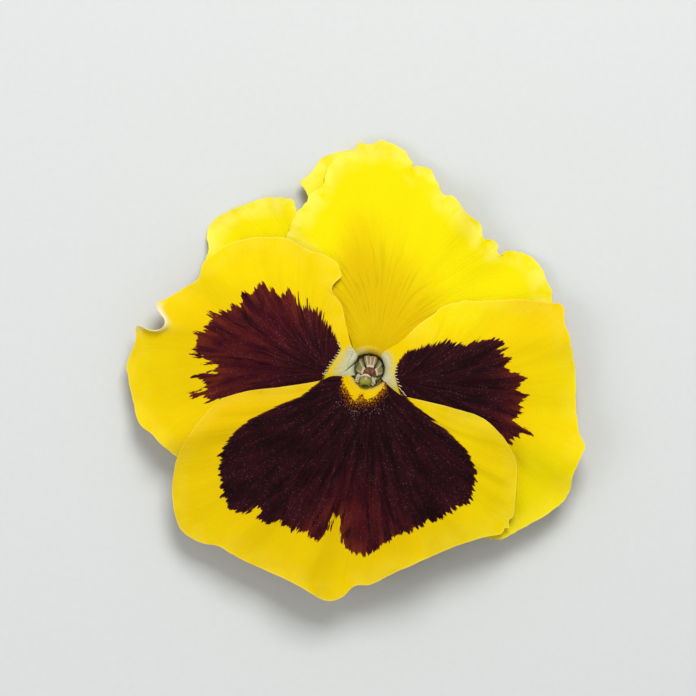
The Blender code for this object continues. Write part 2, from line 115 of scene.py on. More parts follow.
# Pleats along the veins: how many radians of a wave to one of the fan, and their height
PLEATS = ((26.0, 0.10), (85.0, 0.028))
PLEAT_SWAY = 2.4
PLEAT_INSET = 4.0  # pleats reach their full height this far from the margin
UNDULATION = (11.0, 0.34)  # size and height of the soft waves all over a petal
LIFT_CLEARANCE = (0.6, 3.5)  # from where another petal lies on top
RELIEF_GROWS = (6.0, 14.0)  # out from the throat

# Points from one of a line's own to the next, and the size of the table for noise
OUTLINE_STEPS = 6
MARKING_STEPS = 5
LINE_STEPS = 8
NOISE_CELLS = 128

# Each petal: the angles of its claw, and of the rim where the blade starts, then its outline in
# plan from the rim up one side, round the margin and down the other side
LOWER = SimpleNamespace(
    node="petal_lower", claw=(208, 318), rim=(196, 319), claw_radius=LOWER_CLAW_RADIUS,
    layer=LAYER_STEP, scallop=0.12, lip=0.3, ray_origin=(0.0, -0.5), ray_middle=265,
    fan_reach=90.0, seed=1,
    first_side=((-6.6, -1.25), (-9.2, -2.15), (-15.3, -3.1), (-21.2, -3.8), (-25.8, -5.1)),
    margin=(
        (-25.8, -5.1), (-29.2, -8.5), (-32.2, -12.7), (-33.6, -15.5), (-34.3, -18.5),
        (-34.5, -22.0), (-33.9, -26.0), (-32.7, -28.4), (-29.9, -30.3), (-26.4, -31.0),
        (-24.0, -32.4), (-19.4, -34.7), (-15.3, -36.4), (-11.8, -38.2), (-9.5, -39.7),
        (-7.2, -40.6), (-4.8, -39.9), (-2.5, -37.9), (0.4, -37.6), (5.0, -35.3), (10.8, -32.7),
        (14.9, -31.0), (19.6, -29.5), (22.9, -28.9), (23.7, -27.7), (24.4, -27.9), (24.3, -26.5),
        (25.2, -25.6), (25.4, -23.1), (25.7, -18.5), (25.4, -15.5), (23.3, -11.8),
    ),
    last_side=((4.7, -4.0), (5.9, -4.7), (9.7, -5.6), (13.7, -6.6), (19.6, -8.5), (23.3, -11.8)),
)
LEFT = SimpleNamespace(
    node="petal_lateral_left", claw=(148, 204), rim=(130, 200), claw_radius=CLAW_RADIUS,
    layer=0.0, scallop=0.25, lip=0.3, ray_origin=(-6.4, -0.9), ray_middle=165,
    fan_reach=25.0, seed=2,
    first_side=((-3.2, 4.3), (-4.2, 8.2), (-4.9, 11.3), (-6.6, 13.9), (-4.9, 16.2)),
    margin=(
        (-4.9, 16.2), (-5.5, 18.3), (-7.9, 20.0), (-10.6, 20.8), (-14.2, 22.8), (-17.7, 23.2),
        (-21.2, 22.8), (-24.7, 22.0), (-26.9, 20.4), (-29.0, 18.7), (-29.8, 16.1), (-31.1, 15.0),
        (-34.9, 12.6), (-37.1, 11.6), (-37.0, 10.4), (-35.8, 8.4), (-36.4, 7.0), (-38.3, 6.8),
        (-40.7, 7.6), (-40.8, 5.4), (-41.4, 3.7), (-42.5, 0.8), (-42.3, -1.0), (-41.4, -5.7),
        (-40.4, -9.2), (-38.0, -11.5), (-35.6, -13.8), (-30.5, -17.2), (-24.0, -18.0),
    ),
    last_side=((-5.4, -3.4), (-8.5, -7.5), (-13.0, -12.5), (-18.0, -16.2), (-24.0, -18.0)),
)
RIGHT = SimpleNamespace(
    node="petal_lateral_right", claw=(-38, 31), rim=(-40, 50), claw_radius=CLAW_RADIUS,
    layer=0.0, scallop=0.5, lip=0.5, ray_origin=(4.9, -2.0), ray_middle=-10,
    fan_reach=25.0, seed=3,
    first_side=((5.0, -4.8), (7.6, -9.0), (10.2, -14.0), (11.6, -18.5), (13.0, -22.5)),
    margin=(
        (13.0, -22.5), (16.0, -27.4), (20.7, -29.8), (23.6, -29.5), (26.5, -28.1), (30.0, -26.0),
        (33.5, -23.7), (34.6, -22.0), (35.5, -18.5), (37.0, -15.5), (37.6, -13.5), (36.7, -11.5),
        (36.3, -8.5), (36.1, -5.7), (35.8, 0.2), (34.9, 5.4), (34.1, 8.2), (34.1, 10.6),
        (33.2, 11.5),
    ),
    last_side=(
        (3.9, 3.9), (5.6, 4.9), (7.9, 7.1), (10.8, 9.4), (13.7, 11.2), (17.2, 12.0), (28.0, 12.0),
        (33.2, 11.5),
    ),
)
UPPER_RIGHT = SimpleNamespace(
    node="petal_upper_right", claw=(35, 102), rim=(30, 133), claw_radius=CLAW_RADIUS,
    layer=-LAYER_STEP, scallop=0.9, lip=0.9, ray_origin=(0.8, 1.5), ray_middle=78,
    fan_reach=25.0, seed=4,
    first_side=((5.4, 3.2), (9.0, 4.6), (15.0, 6.3), (22.0, 7.2), (28.5, 7.6)),
    margin=(
        (28.5, 7.6), (31.6, 9.4), (32.0, 11.7), (31.9, 14.2), (30.7, 17.2), (28.1, 19.8),
        (25.5, 20.6), (24.1, 20.5), (23.5, 19.7), (22.5, 20.4), (22.7, 21.7), (21.6, 22.9),
        (20.1, 22.8), (19.4, 25.5), (16.0, 28.3), (14.9, 30.1), (13.0, 30.8), (12.2, 32.7),
        (11.0, 34.8), (9.0, 35.8), (7.4, 35.3), (7.8, 36.3), (6.7, 37.6), (5.2, 39.0), (2.9, 39.9),
        (1.2, 39.5), (-2.0, 39.8), (-2.4, 38.8), (-3.7, 38.2), (-5.5, 37.3), (-6.9, 35.9),
        (-7.5, 34.4), (-8.1, 32.1), (-10.1, 30.9), (-10.7, 29.2), (-12.6, 27.2), (-13.6, 25.0),
        (-14.7, 21.9),
    ),
    last_side=((-3.8, 6.5), (-6.6, 11.0), (-9.4, 15.8), (-12.2, 19.6), (-14.7, 21.9)),
)
UPPER_LEFT = SimpleNamespace(
    node="petal_upper_left", claw=(106, 144), rim=(104, 146), claw_radius=CLAW_RADIUS,
    layer=-2 * LAYER_STEP, scallop=0.8, lip=0.9, ray_origin=(-1.0, 1.5), ray_middle=122,
    fan_reach=40.0, seed=5,
    first_side=((-1.5, 7.0), (-1.4, 13.0), (-0.6, 20.0), (0.4, 28.0), (1.5, 34.5)),
    margin=(
        (1.5, 34.5), (-0.4, 37.6), (-2.5, 38.5), (-6.6, 38.2), (-8.3, 37.3), (-10.1, 35.0),
        (-12.1, 32.9), (-11.2, 31.5), (-9.8, 30.3), (-10.6, 28.5), (-12.3, 26.9), (-13.0, 28.4),
        (-13.9, 29.8), (-15.9, 30.1), (-19.4, 29.8), (-22.3, 28.6), (-25.8, 27.7), (-28.1, 25.7),
        (-28.7, 23.4), (-28.7, 21.1), (-29.4, 16.0), (-27.5, 10.5),
    ),
    last_side=((-5.5, 3.7), (-9.0, 5.2), (-15.0, 7.0), (-21.0, 8.8), (-27.5, 10.5)),
)
PETALS = (LOWER, LEFT, RIGHT, UPPER_RIGHT, UPPER_LEFT)  # front to back

# Tips of the blotches' spikes, once round each blotch
BLOTCHES = {
    "petal_lower": (
        (-4.4, -0.3), (-7.0, -0.6), (-9.2, -2.4), (-12.0, -4.5), (-16.5, -6.5), (-20.5, -8.5),
        (-23.7, -10.9), (-26.0, -14.0), (-26.8, -17.3), (-26.4, -20.7), (-24.4, -25.1),
        (-21.4, -25.8), (-19.7, -24.9), (-20.0, -26.5), (-17.2, -27.5), (-15.1, -27.6),
        (-13.4, -28.8), (-11.7, -28.7), (-10.2, -30.1), (-8.8, -30.0), (-6.9, -28.1), (-6.1, -25.6),
        (-5.7, -28.0), (-5.3, -30.4), (-3.6, -32.6), (-1.3, -33.0), (1.6, -32.0), (3.0, -30.6),
        (7.4, -28.8), (10.5, -27.3), (14.5, -25.3), (17.6, -23.7), (18.7, -20.5), (18.7, -17.5),
        (17.2, -14.1), (15.1, -11.8), (12.6, -9.7), (8.2, -6.2), (6.3, -4.6), (4.6, -3.0),
        (3.0, -1.2),
    ),
    "petal_lateral_left": (
        (-7.5, -1.1), (-6.6, 0.6), (-5.1, 2.9), (-5.0, 4.0), (-5.9, 6.2), (-7.6, 9.3), (-9.3, 11.5),
        (-9.9, 10.6), (-11.0, 12.7), (-11.4, 11.1), (-12.7, 13.6), (-14.6, 14.7), (-15.6, 13.2),
        (-17.3, 14.5), (-19.4, 15.4), (-20.6, 14.0), (-22.4, 13.4), (-22.8, 11.7), (-24.6, 11.9),
        (-25.1, 10.3), (-29.8, 9.9), (-28.6, 8.0), (-32.0, 6.3), (-30.8, 4.7), (-30.9, 3.1),
        (-32.0, 1.7), (-27.2, 0.5), (-30.0, -0.4), (-32.4, -1.3), (-29.8, -2.2), (-29.8, -3.1),
        (-32.4, -4.4), (-28.5, -5.9), (-20.0, -6.2), (-12.0, -5.0), (-8.5, -3.6),
    ),
    "petal_lateral_right": (
        (4.3, -1.0), (4.8, 1.0), (6.4, 3.1), (8.6, 3.9), (10.7, 4.7), (13.6, 5.4), (16.3, 4.6),
        (18.6, 5.4), (22.1, 5.7), (24.4, 3.9), (23.0, 2.9), (25.7, 2.1), (24.5, 0.4), (27.5, -1.3),
        (26.4, -3.1), (28.5, -5.0), (26.8, -6.2), (27.8, -7.5), (26.0, -8.6), (29.0, -11.5),
        (25.8, -12.0), (26.0, -13.7), (24.0, -13.8), (25.8, -15.5), (22.4, -16.0), (19.6, -13.0),
        (15.0, -10.0), (9.7, -8.0), (5.6, -5.0),
    ),
}
YELLOW_PATCH = (
    (-4.5, -0.6), (-4.8, -2.2), (-3.9, -4.1), (-2.8, -5.6), (-2.0, -5.4), (-1.4, -4.5),
    (-1.0, -5.5), (0.0, -5.4), (1.1, -4.9), (2.1, -4.0), (2.7, -3.0), (2.8, -2.2), (2.0, 0.0),
    (-3.0, 0.0),
)
# How far the pale greenish floor of the throat reaches, by direction
PALE_FLOOR = {
    0: 4.4, 38: 4.5, 60: 4.0, 100: 4.0, 134: 5.4, 163: 5.8, 184: 6.5, 205: 6.0, 260: 3.0, 327: 5.8,
}
# How far the upper petals' golden hollow reaches, by direction
GOLDEN_HOLLOW = {0: 14.0, 35: 17.0, 52: 19.0, 75: 21.5, 95: 27.0, 112: 19.0, 140: 12.0}
NO_MARKING = -20.0  # how far inside its marking a petal without one counts as
# Short crease in the left petal's base
CREASE_START = (-2.4, 1.2)
CREASE_END = (-4.3, -0.5)
CREASE_DEPTH = 0.45
CREASE_HALF_WIDTHS = (0.195, 0.075)
CREASE_FADES = (1.2, 0.6)
# Where the left petal's margin rolls up in a notch, and how high and far
ROLLED_NOTCH = ((-39.7, 8.0), (-38.4, 6.7), (-37.0, 7.1), (-36.0, 8.3), (-36.6, 10.4))
ROLL_HEIGHT = 0.9
ROLL_REACH = 1.1
ROLL_FADES = (1.6, 0.5)

# Hairs: shares of the length at which rings stand, and their widths there
HAIR_SHARES = (0.0, 0.3, 0.6, 0.88, 1.0)
HAIR_WIDTHS = (1.0, 0.9, 0.72, 0.5, 0.12)
HAIR_SAG = 0.22
HAIR_ROOT_DEPTH = 0.03
ANY_WAY = (0.31, 0.47, 0.83)  # a way that no hair lies along
# White beards at the blotches: a line in plan, from the longest hair to the shortest
BEARDS = (
    ("beard_left", LEFT,
     ((-7.5, -1.1), (-7.3, -0.2), (-6.7, 0.8), (-5.8, 1.9), (-5.1, 3.2), (-5.3, 4.8))),
    ("beard_right", RIGHT,
     ((5.8, -4.2), (5.1, -3.2), (4.7, -2.0), (4.4, -0.9), (4.6, 0.5))),
)
BEARD_PITCH = 0.46
BEARD_LENGTHS = (0.95, 0.38)
BEARD_RADIUS = 0.085
# Downy white tissue beside the throat: a middle line in plan
DOWN = (
    ("down_left", LEFT, ((-3.2, 3.2), (-3.0, 2.7), (-3.0, 2.1))),
    ("down_right", RIGHT, ((2.6, 2.3), (2.8, 1.7), (3.0, 1.0))),
)
DOWN_GLOW = 0.75
DOWN_SPREAD = 0.45
DOWN_HAIRS = 90
DOWN_LENGTH = 0.24
DOWN_RADIUS = 0.03
PAPILLAE = 1000
PAPILLAE_TRIED = 16000
PAPILLAE_BOX = ((-8.5, -9.5), (6.0, -2.0))
PAPILLAE_REACH = 3.1
PAPILLA_LENGTH = 0.30
PAPILLA_RADIUS = 0.042

# Spur behind the lower petal, as in the frame
SPUR_PATH = (
    (0.0, -3.4, 10.9), (0.0, -3.8, 9.6), (0.0, -4.2, 8.3), (0.0, -4.35, 7.0), (0.0, -4.25, 5.6),
    (0.0, -3.9, 4.3), (0.0, -3.6, 3.6), (0.0, -3.45, 3.2),
)
SPUR_RADII = (0.5, 0.92, 1.1, 1.15, 1.1, 0.95, 0.72, 0.25)
SPUR_RINGS = 60
SPUR_SIDES = 28

# Stalk, its hook and the receptacle, as in the frame
STALK_RADIUS = 1.0
STALK_NECK_RADIUS = 0.9
STALK_LIES_AT = 1.046
STALK_CUT_Y = -37.0
STALK_SWAY = 1.4
STALK_SWAY_START_Y = -2.0
STALK_RIDGES = 5
STALK_RIDGE = 0.04
STALK_RINGS = 170
STALK_SIDES = 40
STALK_LYING_POINTS = 14
# Rings of the cut end, with a bevelled edge and a sunken pith: share of the width, and depth
CUT_END = ((0.05, 0.10), (0.55, 0.12), (0.86, 0.06), (0.95, 0.0))
HOOK_START_Y = 0.8
HOOK_RADIUS = 2.8
HOOK_TURN = 150
HOOK_POINTS = 9
RECEPTACLE_PROFILE = (
    (0.85, 5.6), (1.15, 6.0), (1.9, 6.5), (2.5, 7.1), (2.6, 7.6), (2.6, 8.0), (2.45, 8.25),
    (2.2, RECEPTACLE_TOP), (0.3, RECEPTACLE_TOP),
)
RECEPTACLE_RINGS = 40
RECEPTACLE_SIDES = 48

# Bracteoles and sepals, as in the frame
BRACTEOLE_Y = -12.0
BRACTEOLE_LENGTH = 4.2
BRACTEOLE_WIDTH = 1.3
BRACTEOLE_SPREAD = 18
BRACTEOLE_RISE = 0.3
BRACTEOLE_GAP = 0.12
BRACTEOLE_HOLLOW = 0.12
BRACTEOLE_ROWS = 36
BRACTEOLE_COLUMNS = 15
# Each sepal: its direction, half width at the neck, and its ear's length and slant
SEPALS = (
    ("sepal_top", 90, 1.8, 1.6, 48),
    ("sepal_upper_left", 162, 1.8, 3.0, 12),
    ("sepal_lower_left", 234, 0.95, 3.0, 12),
    ("sepal_lower_right", 306, 0.95, 3.0, 12),
    ("sepal_upper_right", 18, 1.8, 3.0, 12),
)
SEPAL_REACH = 16.5
SEPAL_WIDTH = 5.2
SEPAL_TIP_HALF_WIDTH = 0.18
SEPAL_SWELL_START = 0.2
SEPAL_SWELL = 0.72
SEPAL_NECK = 0.38
SEPAL_CUP = 0.5
# A sepal's seat and the bend over it, as radius and height
SEPAL_SEAT = (3.21, RECEPTACLE_TOP - 0.4)
SEPAL_BEND = ((3.41, RECEPTACLE_TOP + 0.15), (3.96, RECEPTACLE_TOP + 0.5))
SEPAL_THICKNESS = (0.20, 0.46)  # at the margin and in the middle
SEPAL_OVER = np.linspace(-1.0, 1.0, 33)  # across a sepal, from side to side
SEPAL_ROWS = 64
EAR_ROWS = 26
EAR_TIP_SHARE = 0.55

# Stamens: middle line as radius and height, then half width and half depth along it
ANTHER_TURNS = (84, 156, 228, 300, 372)
PINKEST_ANTHER = 84
ANTHER_LINE = (
    (1.1, 8.35), (1.3, 8.9), (1.6, 9.6), (1.8, 10.5), (1.84, 11.3), (1.66, 12.0), (1.15, 12.65),
)
ANTHER_HALF_WIDTH = (0.55, 0.75, 1.1, 1.25, 1.25, 1.12, 0.66)
ANTHER_HALF_DEPTH = (0.25, 0.3, 0.46, 0.52, 0.52, 0.45, 0.24)
TIP_LINE = ((1.1, 12.45), (0.95, 12.85), (0.66, 13.2), (0.32, 13.42), (0.05, 13.5))
TIP_HALF_WIDTH = (0.52, 0.6, 0.5, 0.32, 0.08)
TIP_THICKNESS = 0.08
TIP_ROWS = 24
TIP_COLUMNS = 15
ANTHER_SIDES = 36
ANTHER_RINGS = 48
SHORT_TIP_SHARE = 0.55  # the two tips beside the style end this far along
CONE_LEAN = 0.95  # how far the cone's top leans towards the lower petal
CONE_LEAN_HEIGHTS = (11.0, 13.2)

# Pistil: points up its middle and radii there, then the round head round its centre
PISTIL_PATH = (
    (0.0, 0.0, 8.35), (0.0, 0.0, 8.7), (0.0, 0.0, 9.2), (0.0, 0.0, 9.8), (0.0, -0.02, 10.4),
    (0.0, -0.05, 11.0), (-0.01, -0.16, 12.0), (-0.06, -0.38, 12.75), (-0.18, -0.68, 13.1),
    (-0.36, -1.0, 13.24),
)
PISTIL_RADII = (0.3, 0.5, 0.66, 0.7, 0.5, 0.3, 0.28, 0.28, 0.29, 0.32)
HEAD_CENTRE = (-0.73, -2.0, 14.0)
HEAD_WAY = (-0.06, -0.93, 0.35)
HEAD_RADIUS = 1.16
HEAD_BACK = 158
HEAD_OPENING = 33
HEAD_LIP = 0.18  # how far the lower lip sticks out
STEM_RINGS = 60
HEAD_RINGS = 90
HEAD_ARC_POINTS = 40
PISTIL_SIDES = 48
TUFTS = (("style_tuft_left", (-0.95, 0.30, -0.1)), ("style_tuft_right", (1.0, -0.10, -0.1)))
TUFT_HAIRS = 150
TUFT_LENGTH = 0.68
TUFT_RADIUS = 0.036
TUFT_ROOT_DEPTH = 0.04
# The head's cavity: how far ahead and aside of its centre, in its radii
CAVITY = ((0.87, 0.50), (0.82, 0.44), (0.75, 0.38), (0.70, 0.28), (0.67, 0.10))

# Studio
FLOOR_HALF = 900.0
SKY_COLOUR = (0.93, 0.96, 1.0)
SKY_STRENGTH = 0.46
LIGHT_AIM = Vector((0.0, 0.0, 0.01))


def ease(start, end, value):
    """0 below start, 1 above end and an even ease between."""
    share = np.clip((value - start) / (end - start), 0.0, 1.0)
    return share * share * (3.0 - 2.0 * share)


def between(first, last, share):
    """The value that share of the way from the first to the last."""
    return first + (last - first) * share


def hill(value, middle, width):
    """1 where the value is the middle, and less away from it, over about the width."""
    return np.exp(-(((value - middle) / width) ** 2))


def steps(count):
    """Even steps from 0 to 1."""
    return np.linspace(0.0, 1.0, count)


def spread(values, shares):
    """Values that lie evenly from 0 to 1, read at the shares."""
    return np.interp(shares, steps(len(values)), values)


def turns_round(sides):
    """Angles once round a ring, in radians."""
    return 2 * math.pi * np.arange(sides) / sides


def unit(vectors):
    """The same directions with a length of 1."""
    return vectors / (np.linalg.norm(vectors, axis=-1, keepdims=True) + 1e-12)


def on_circle(radius, degrees):
    """Plan points on a circle round the throat."""
    turn = np.radians(degrees)
    return radius * np.stack((np.cos(turn), np.sin(turn)), axis=-1)


def at_height(plan, height):
    """Points in space over plan points."""
    height = np.broadcast_to(height, plan.shape[:-1])
    return np.concatenate((plan, height[..., None]), axis=-1)


def around(values, angle):
    """The eased value at an angle in degrees, from a few values round the flower, 0 among them."""
    angle = np.mod(angle, 360.0)
    known = sorted(values)
    result = np.zeros_like(angle)
    for start, end in zip(known, known[1:] + [360]):
        eased = between(values[start], values[end % 360], ease(start, end, angle))
        result = np.where((angle >= start) & (angle < end), eased, result)
    return result


def smooth_noise(x, y, size, seed):
    """Noise from -1 to 1 over plan points, with features about as wide as size."""
    table = np.random.default_rng(seed).uniform(-1.0, 1.0, (NOISE_CELLS, NOISE_CELLS))
    cell_x, cell_y = np.floor(x / size).astype(int), np.floor(y / size).astype(int)
    ease_x, ease_y = ease(0.0, 1.0, x / size - cell_x), ease(0.0, 1.0, y / size - cell_y)
    left, right = cell_x % NOISE_CELLS, (cell_x + 1) % NOISE_CELLS
    near, far = (
        between(table[left, row], table[right, row], ease_x)
        for row in (cell_y % NOISE_CELLS, (cell_y + 1) % NOISE_CELLS)
    )
    return between(near, far, ease_y)


def face_height(x, y):
    """Height of the face surface, on the side petals' layer."""
    radius, angle = np.hypot(x, y), np.degrees(np.arctan2(y, x))
    out = np.maximum(radius - BLADE_START, 0.0)
    height = THROAT_RIM + FACE_RISE * (1.0 - np.exp(-out / FACE_RISE_REACH))
    height -= around(MARGIN_DROOP, angle) * (out / (FACE_RADIUS - BLADE_START)) ** DROOP_POWER
    ruffle = sum(
        share * np.cos(np.radians(waves * (angle - crest))) for waves, share, crest in RUFFLE_WAVES
    )
    height += RUFFLE_HEIGHT * ease(RUFFLE_START, FACE_RADIUS, radius) * ruffle
    for form_x, form_y, length, width, axis, rise in FACE_FORMS:
        way_x, way_y = on_circle(1.0, axis)
        along = (x - form_x) * way_x + (y - form_y) * way_y
        across = (y - form_y) * way_x - (x - form_x) * way_y
        height += rise * hill(along, 0.0, length) * hill(across, 0.0, width)
    return np.maximum(height, around(LIES_FLAT, angle))


def fine_curve(points, between_points=16):
    """Many points along a smooth curve through the given ones, and the length up to each."""
    knots = np.array(points, dtype=float)
    ends = np.vstack((2 * knots[0] - knots[1], knots, 2 * knots[-1] - knots[-2]))
    share = np.linspace(0.0, 1.0, between_points, endpoint=False)[:, None]
    pieces = []
    for p0, p1, p2, p3 in zip(ends, ends[1:], ends[2:], ends[3:]):
        tangent = 2 * p1 + (p2 - p0) * share
        bend = (2 * p0 - 5 * p1 + 4 * p2 - p3) * share**2
        twist = (3 * p1 - 3 * p2 + p3 - p0) * share**3
        pieces.append((tangent + bend + twist) / 2)
    curve = np.vstack(pieces + [knots[-1:]])
    step = np.linalg.norm(np.diff(curve, axis=0), axis=1)
    return curve, np.concatenate(([0.0], np.cumsum(step)))


def smooth_curve(points, shares, scallop=0.0, seed=0):
    """Points at shares of a smooth curve's length. In plan it may get small scallops."""
    curve, length = fine_curve(points)
    at = np.array(shares) * length[-1]
    placed = np.stack([np.interp(at, length, axis) for axis in curve.T], axis=-1)
    if not scallop:
        return placed
    along = unit(np.gradient(placed, axis=0))
    outward = np.stack((along[:, 1], -along[:, 0]), axis=-1)
    fade = ease(SCALLOP_START, 2 * SCALLOP_START, np.hypot(*placed.T))
    wobble = sum(
        height * smooth_noise(at + 200.0, np.full_like(at, 7.3 * seed), size / 2, seed + index)
        for index, (size, height) in enumerate(SCALLOPS)
    )
    return placed + outward * (scallop * wobble * fade)[:, None]


def blade_plan(foot, first_side, margin, last_side, rows):
    """Plan points of a blade between its foot, its two sides and its margin."""
    down = rows[:, None, None]
    across = steps(len(foot))[:, None]
    sides = between(first_side[:, None], last_side[:, None], across)
    corners = (between(line[0], line[-1], across) for line in (foot, margin))
    return sides + between(foot, margin, down) - between(*corners, down)


def petal_outline(petal):
    """The closed outline of a petal's blade in plan."""
    start, end = on_circle(petal.claw_radius + CLAW_BEND, petal.rim)
    lines = ((start, *petal.first_side), petal.margin, (end, *petal.last_side))
    first, margin, last = (fine_curve(line, OUTLINE_STEPS)[0] for line in lines)
    return np.vstack((first, margin[1:], last[-2::-1]))


def inside_by(x, y, outline):
    """How far inside a closed outline each point lies, and less than 0 outside it."""
    points = np.column_stack((np.ravel(x), np.ravel(y)))
    nearest = np.full(len(points), np.inf)
    inside = np.zeros(len(points), dtype=bool)
    for start, end in zip(outline, np.roll(outline, -1, axis=0)):
        edge = end - start
        share = np.clip((points - start) @ edge / max(edge @ edge, 1e-12), 0.0, 1.0)
        away = points - start - share[:, None] * edge
        nearest = np.minimum(nearest, np.einsum("ij,ij->i", away, away))
        if start[1] != end[1]:
            crosses = (start[1] > points[:, 1]) != (end[1] > points[:, 1])
            at_x = start[0] + (points[:, 1] - start[1]) * edge[0] / edge[1]
            inside ^= crosses & (points[:, 0] < at_x)
    distance = np.sqrt(nearest)
    return np.where(inside, distance, -distance).reshape(np.shape(x))


def inside_marking(x, y, points):
    """How far inside a marking each point lies, from a few points once round the marking."""
    return inside_by(x, y, fine_curve(points + points[:1], MARKING_STEPS)[0])


def petal_grid(petal):
    """Middle surface of a petal before its fine relief, from the claw's foot to the margin."""
    across = steps(int(fine_curve(petal.margin)[1][-1] / COLUMN_WIDTH) + 1)
    claw_angles, rim_angles = between(*petal.claw, across), between(*petal.rim, across)
    rim = THROAT_RIM + petal.layer
    claw_foot, claw_top = RECEPTACLE_TOP + FIT_GAP, rim - CLAW_BEND
    widening = petal.claw_radius - CLAW_FOOT_RADIUS
    wide_at = min(claw_foot + CLAW_STEEPNESS * widening, claw_top)
    grid = []
    for height in np.linspace(claw_foot, claw_top, CLAW_ROWS):
        radius = CLAW_FOOT_RADIUS + widening * ease(claw_foot, wide_at, height)
        grid.append(at_height(on_circle(radius, claw_angles), height))
    for turn in np.linspace(0.0, 90.0, BEND_ROWS + 2)[1:-1]:
        angles = between(claw_angles, rim_angles, ease(*CLAW_WIDENS, turn))
        out, down = CLAW_BEND * (1.0 - on_circle(1.0, turn))
        grid.append(at_height(on_circle(petal.claw_radius + out, angles), rim - down))

    rows = steps(BLADE_ROWS + 1) ** ROW_CROWDING
    foot = on_circle(petal.claw_radius + CLAW_BEND, rim_angles)
    seed = 10 * petal.seed
    margin = smooth_curve(petal.margin, across, petal.scallop, seed + 3)
    soft = margin.copy()
    for _ in range(SOFTENING_PASSES):
        soft[1:-1] = (soft[:-2] + 2 * soft[1:-1] + soft[2:]) / 4
    first = smooth_curve((foot[0], *petal.first_side), rows, petal.scallop, seed)
    last = smooth_curve((foot[-1], *petal.last_side), rows, petal.scallop, seed + 6)
    plan = blade_plan(foot, first, soft, last, rows)
    plan = plan + (margin - soft) * (rows**NOTCH_POWER)[:, None, None]
    height = face_height(plan[..., 0], plan[..., 1]) + petal.layer
    return np.concatenate((np.array(grid), at_height(plan, height)))


def petal_top(petal, x, y):
    """Height of a petal's upper face near the throat, on its bend as well as its blade."""
    out = np.clip((np.hypot(x, y) - petal.claw_radius) / CLAW_BEND, 0.0, 1.0)
    below = CLAW_BEND * (1.0 - np.sqrt(1.0 - (1.0 - out) ** 2))
    return face_height(x, y) + petal.layer - below + PETAL_THICKNESS / 2


def edge_distance(grid):
    """How far each grid point is from the margin or a side, along the grid."""
    to_margin, from_first = np.zeros((2, *grid.shape[:2]))
    down = np.linalg.norm(np.diff(grid, axis=0), axis=2)
    to_margin[:-1] = np.cumsum(down[::-1], axis=0)[::-1]
    from_first[:, 1:] = np.cumsum(np.linalg.norm(np.diff(grid, axis=1), axis=2), axis=1)
    return np.minimum(to_margin, np.minimum(from_first, from_first[:, -1:] - from_first))


def petal_rays(petal, x, y):
    """Which vein of the petal's fan runs through each point, and how far out along it."""
    away_x, away_y = x - petal.ray_origin[0], y - petal.ray_origin[1]
    turned = np.degrees(np.arctan2(away_y, away_x)) - petal.ray_middle
    turned = np.radians((turned + 180.0) % 360.0 - 180.0)
    reach = np.hypot(away_x, away_y)
    return turned / (1.0 + reach / petal.fan_reach), reach


def crease_share(x, y):
    """1 along the short crease in the base of the left petal and 0 away from it."""
    from_start = np.stack((x, y), axis=-1) - CREASE_START
    way = np.subtract(CREASE_END, CREASE_START)
    share = from_start @ way / (way @ way)
    nearest = np.clip(share, 0.0, 1.0)
    away = np.linalg.norm(from_start - nearest[..., None] * way, axis=-1)
    half_width = between(*CREASE_HALF_WIDTHS, nearest)
    return hill(away, 0.0, half_width) * ease(*CREASE_FADES, share)


def distance_to(line, x, y):
    """How far each point is from a line in plan."""
    line = fine_curve(line, LINE_STEPS)[0]
    return np.min(np.hypot(x[..., None] - line[:, 0], y[..., None] - line[:, 1]), axis=-1)


def roll_share(x, y, rim):
    """1 along the rolled edge of the left petal's notch and 0 away from it."""
    return hill(distance_to(ROLLED_NOTCH, x, y), 0.0, ROLL_REACH) * ease(*ROLL_FADES, rim)


def add_relief(petal, grid, rim, in_front):
    """Pleats along the veins, and crinkles and a lip where no petal lies on top."""
    x, y = grid[..., 0], grid[..., 1]
    fan, reach = petal_rays(petal, x, y)
    on_blade = ease(*RELIEF_GROWS, np.hypot(x, y))
    free = on_blade.copy()
    for other in in_front:
        free *= ease(*LIFT_CLEARANCE, -inside_by(x, y, petal_outline(other)))
    # Each noise has its own seed and reads its own part of the plan
    size, height = UNDULATION
    relief = height * on_blade * smooth_noise(x + 400.0, y + 400.0, size, 90 + petal.seed)
    for index, (waves, height) in enumerate(PLEATS):
        seed = petal.seed + 20 * index
        sway = PLEAT_SWAY * smooth_noise(fan * 9.0 + 50.0, reach / 14.0 + 9.0, 1.0, seed)
        relief += height * np.sin(fan * waves + sway) * on_blade * ease(0.0, PLEAT_INSET, rim)
    for index, (size, height, depth) in enumerate(CRINKLES):
        noise = smooth_noise(x + 300.0, y + 300.0, size, 40 * petal.seed + index)
        relief += free * height * between(CRINKLE_LIFT, 1.0, noise) * np.exp(-rim / depth)
    curl = 0.5 + 0.9 * smooth_noise(x + 500.0, y + 500.0, LIP_CURL_SIZE, 60 + petal.seed)
    relief += free * petal.lip * LIP_HEIGHT * curl * np.exp(-rim / LIP_REACH)
    if petal is LEFT:
        relief += ROLL_HEIGHT * roll_share(x, y, rim) - CREASE_DEPTH * crease_share(x, y)
    lifted = grid.copy()
    lifted[..., 2] = np.maximum(lifted[..., 2] + relief, PETAL_THICKNESS / 2)
    return lifted


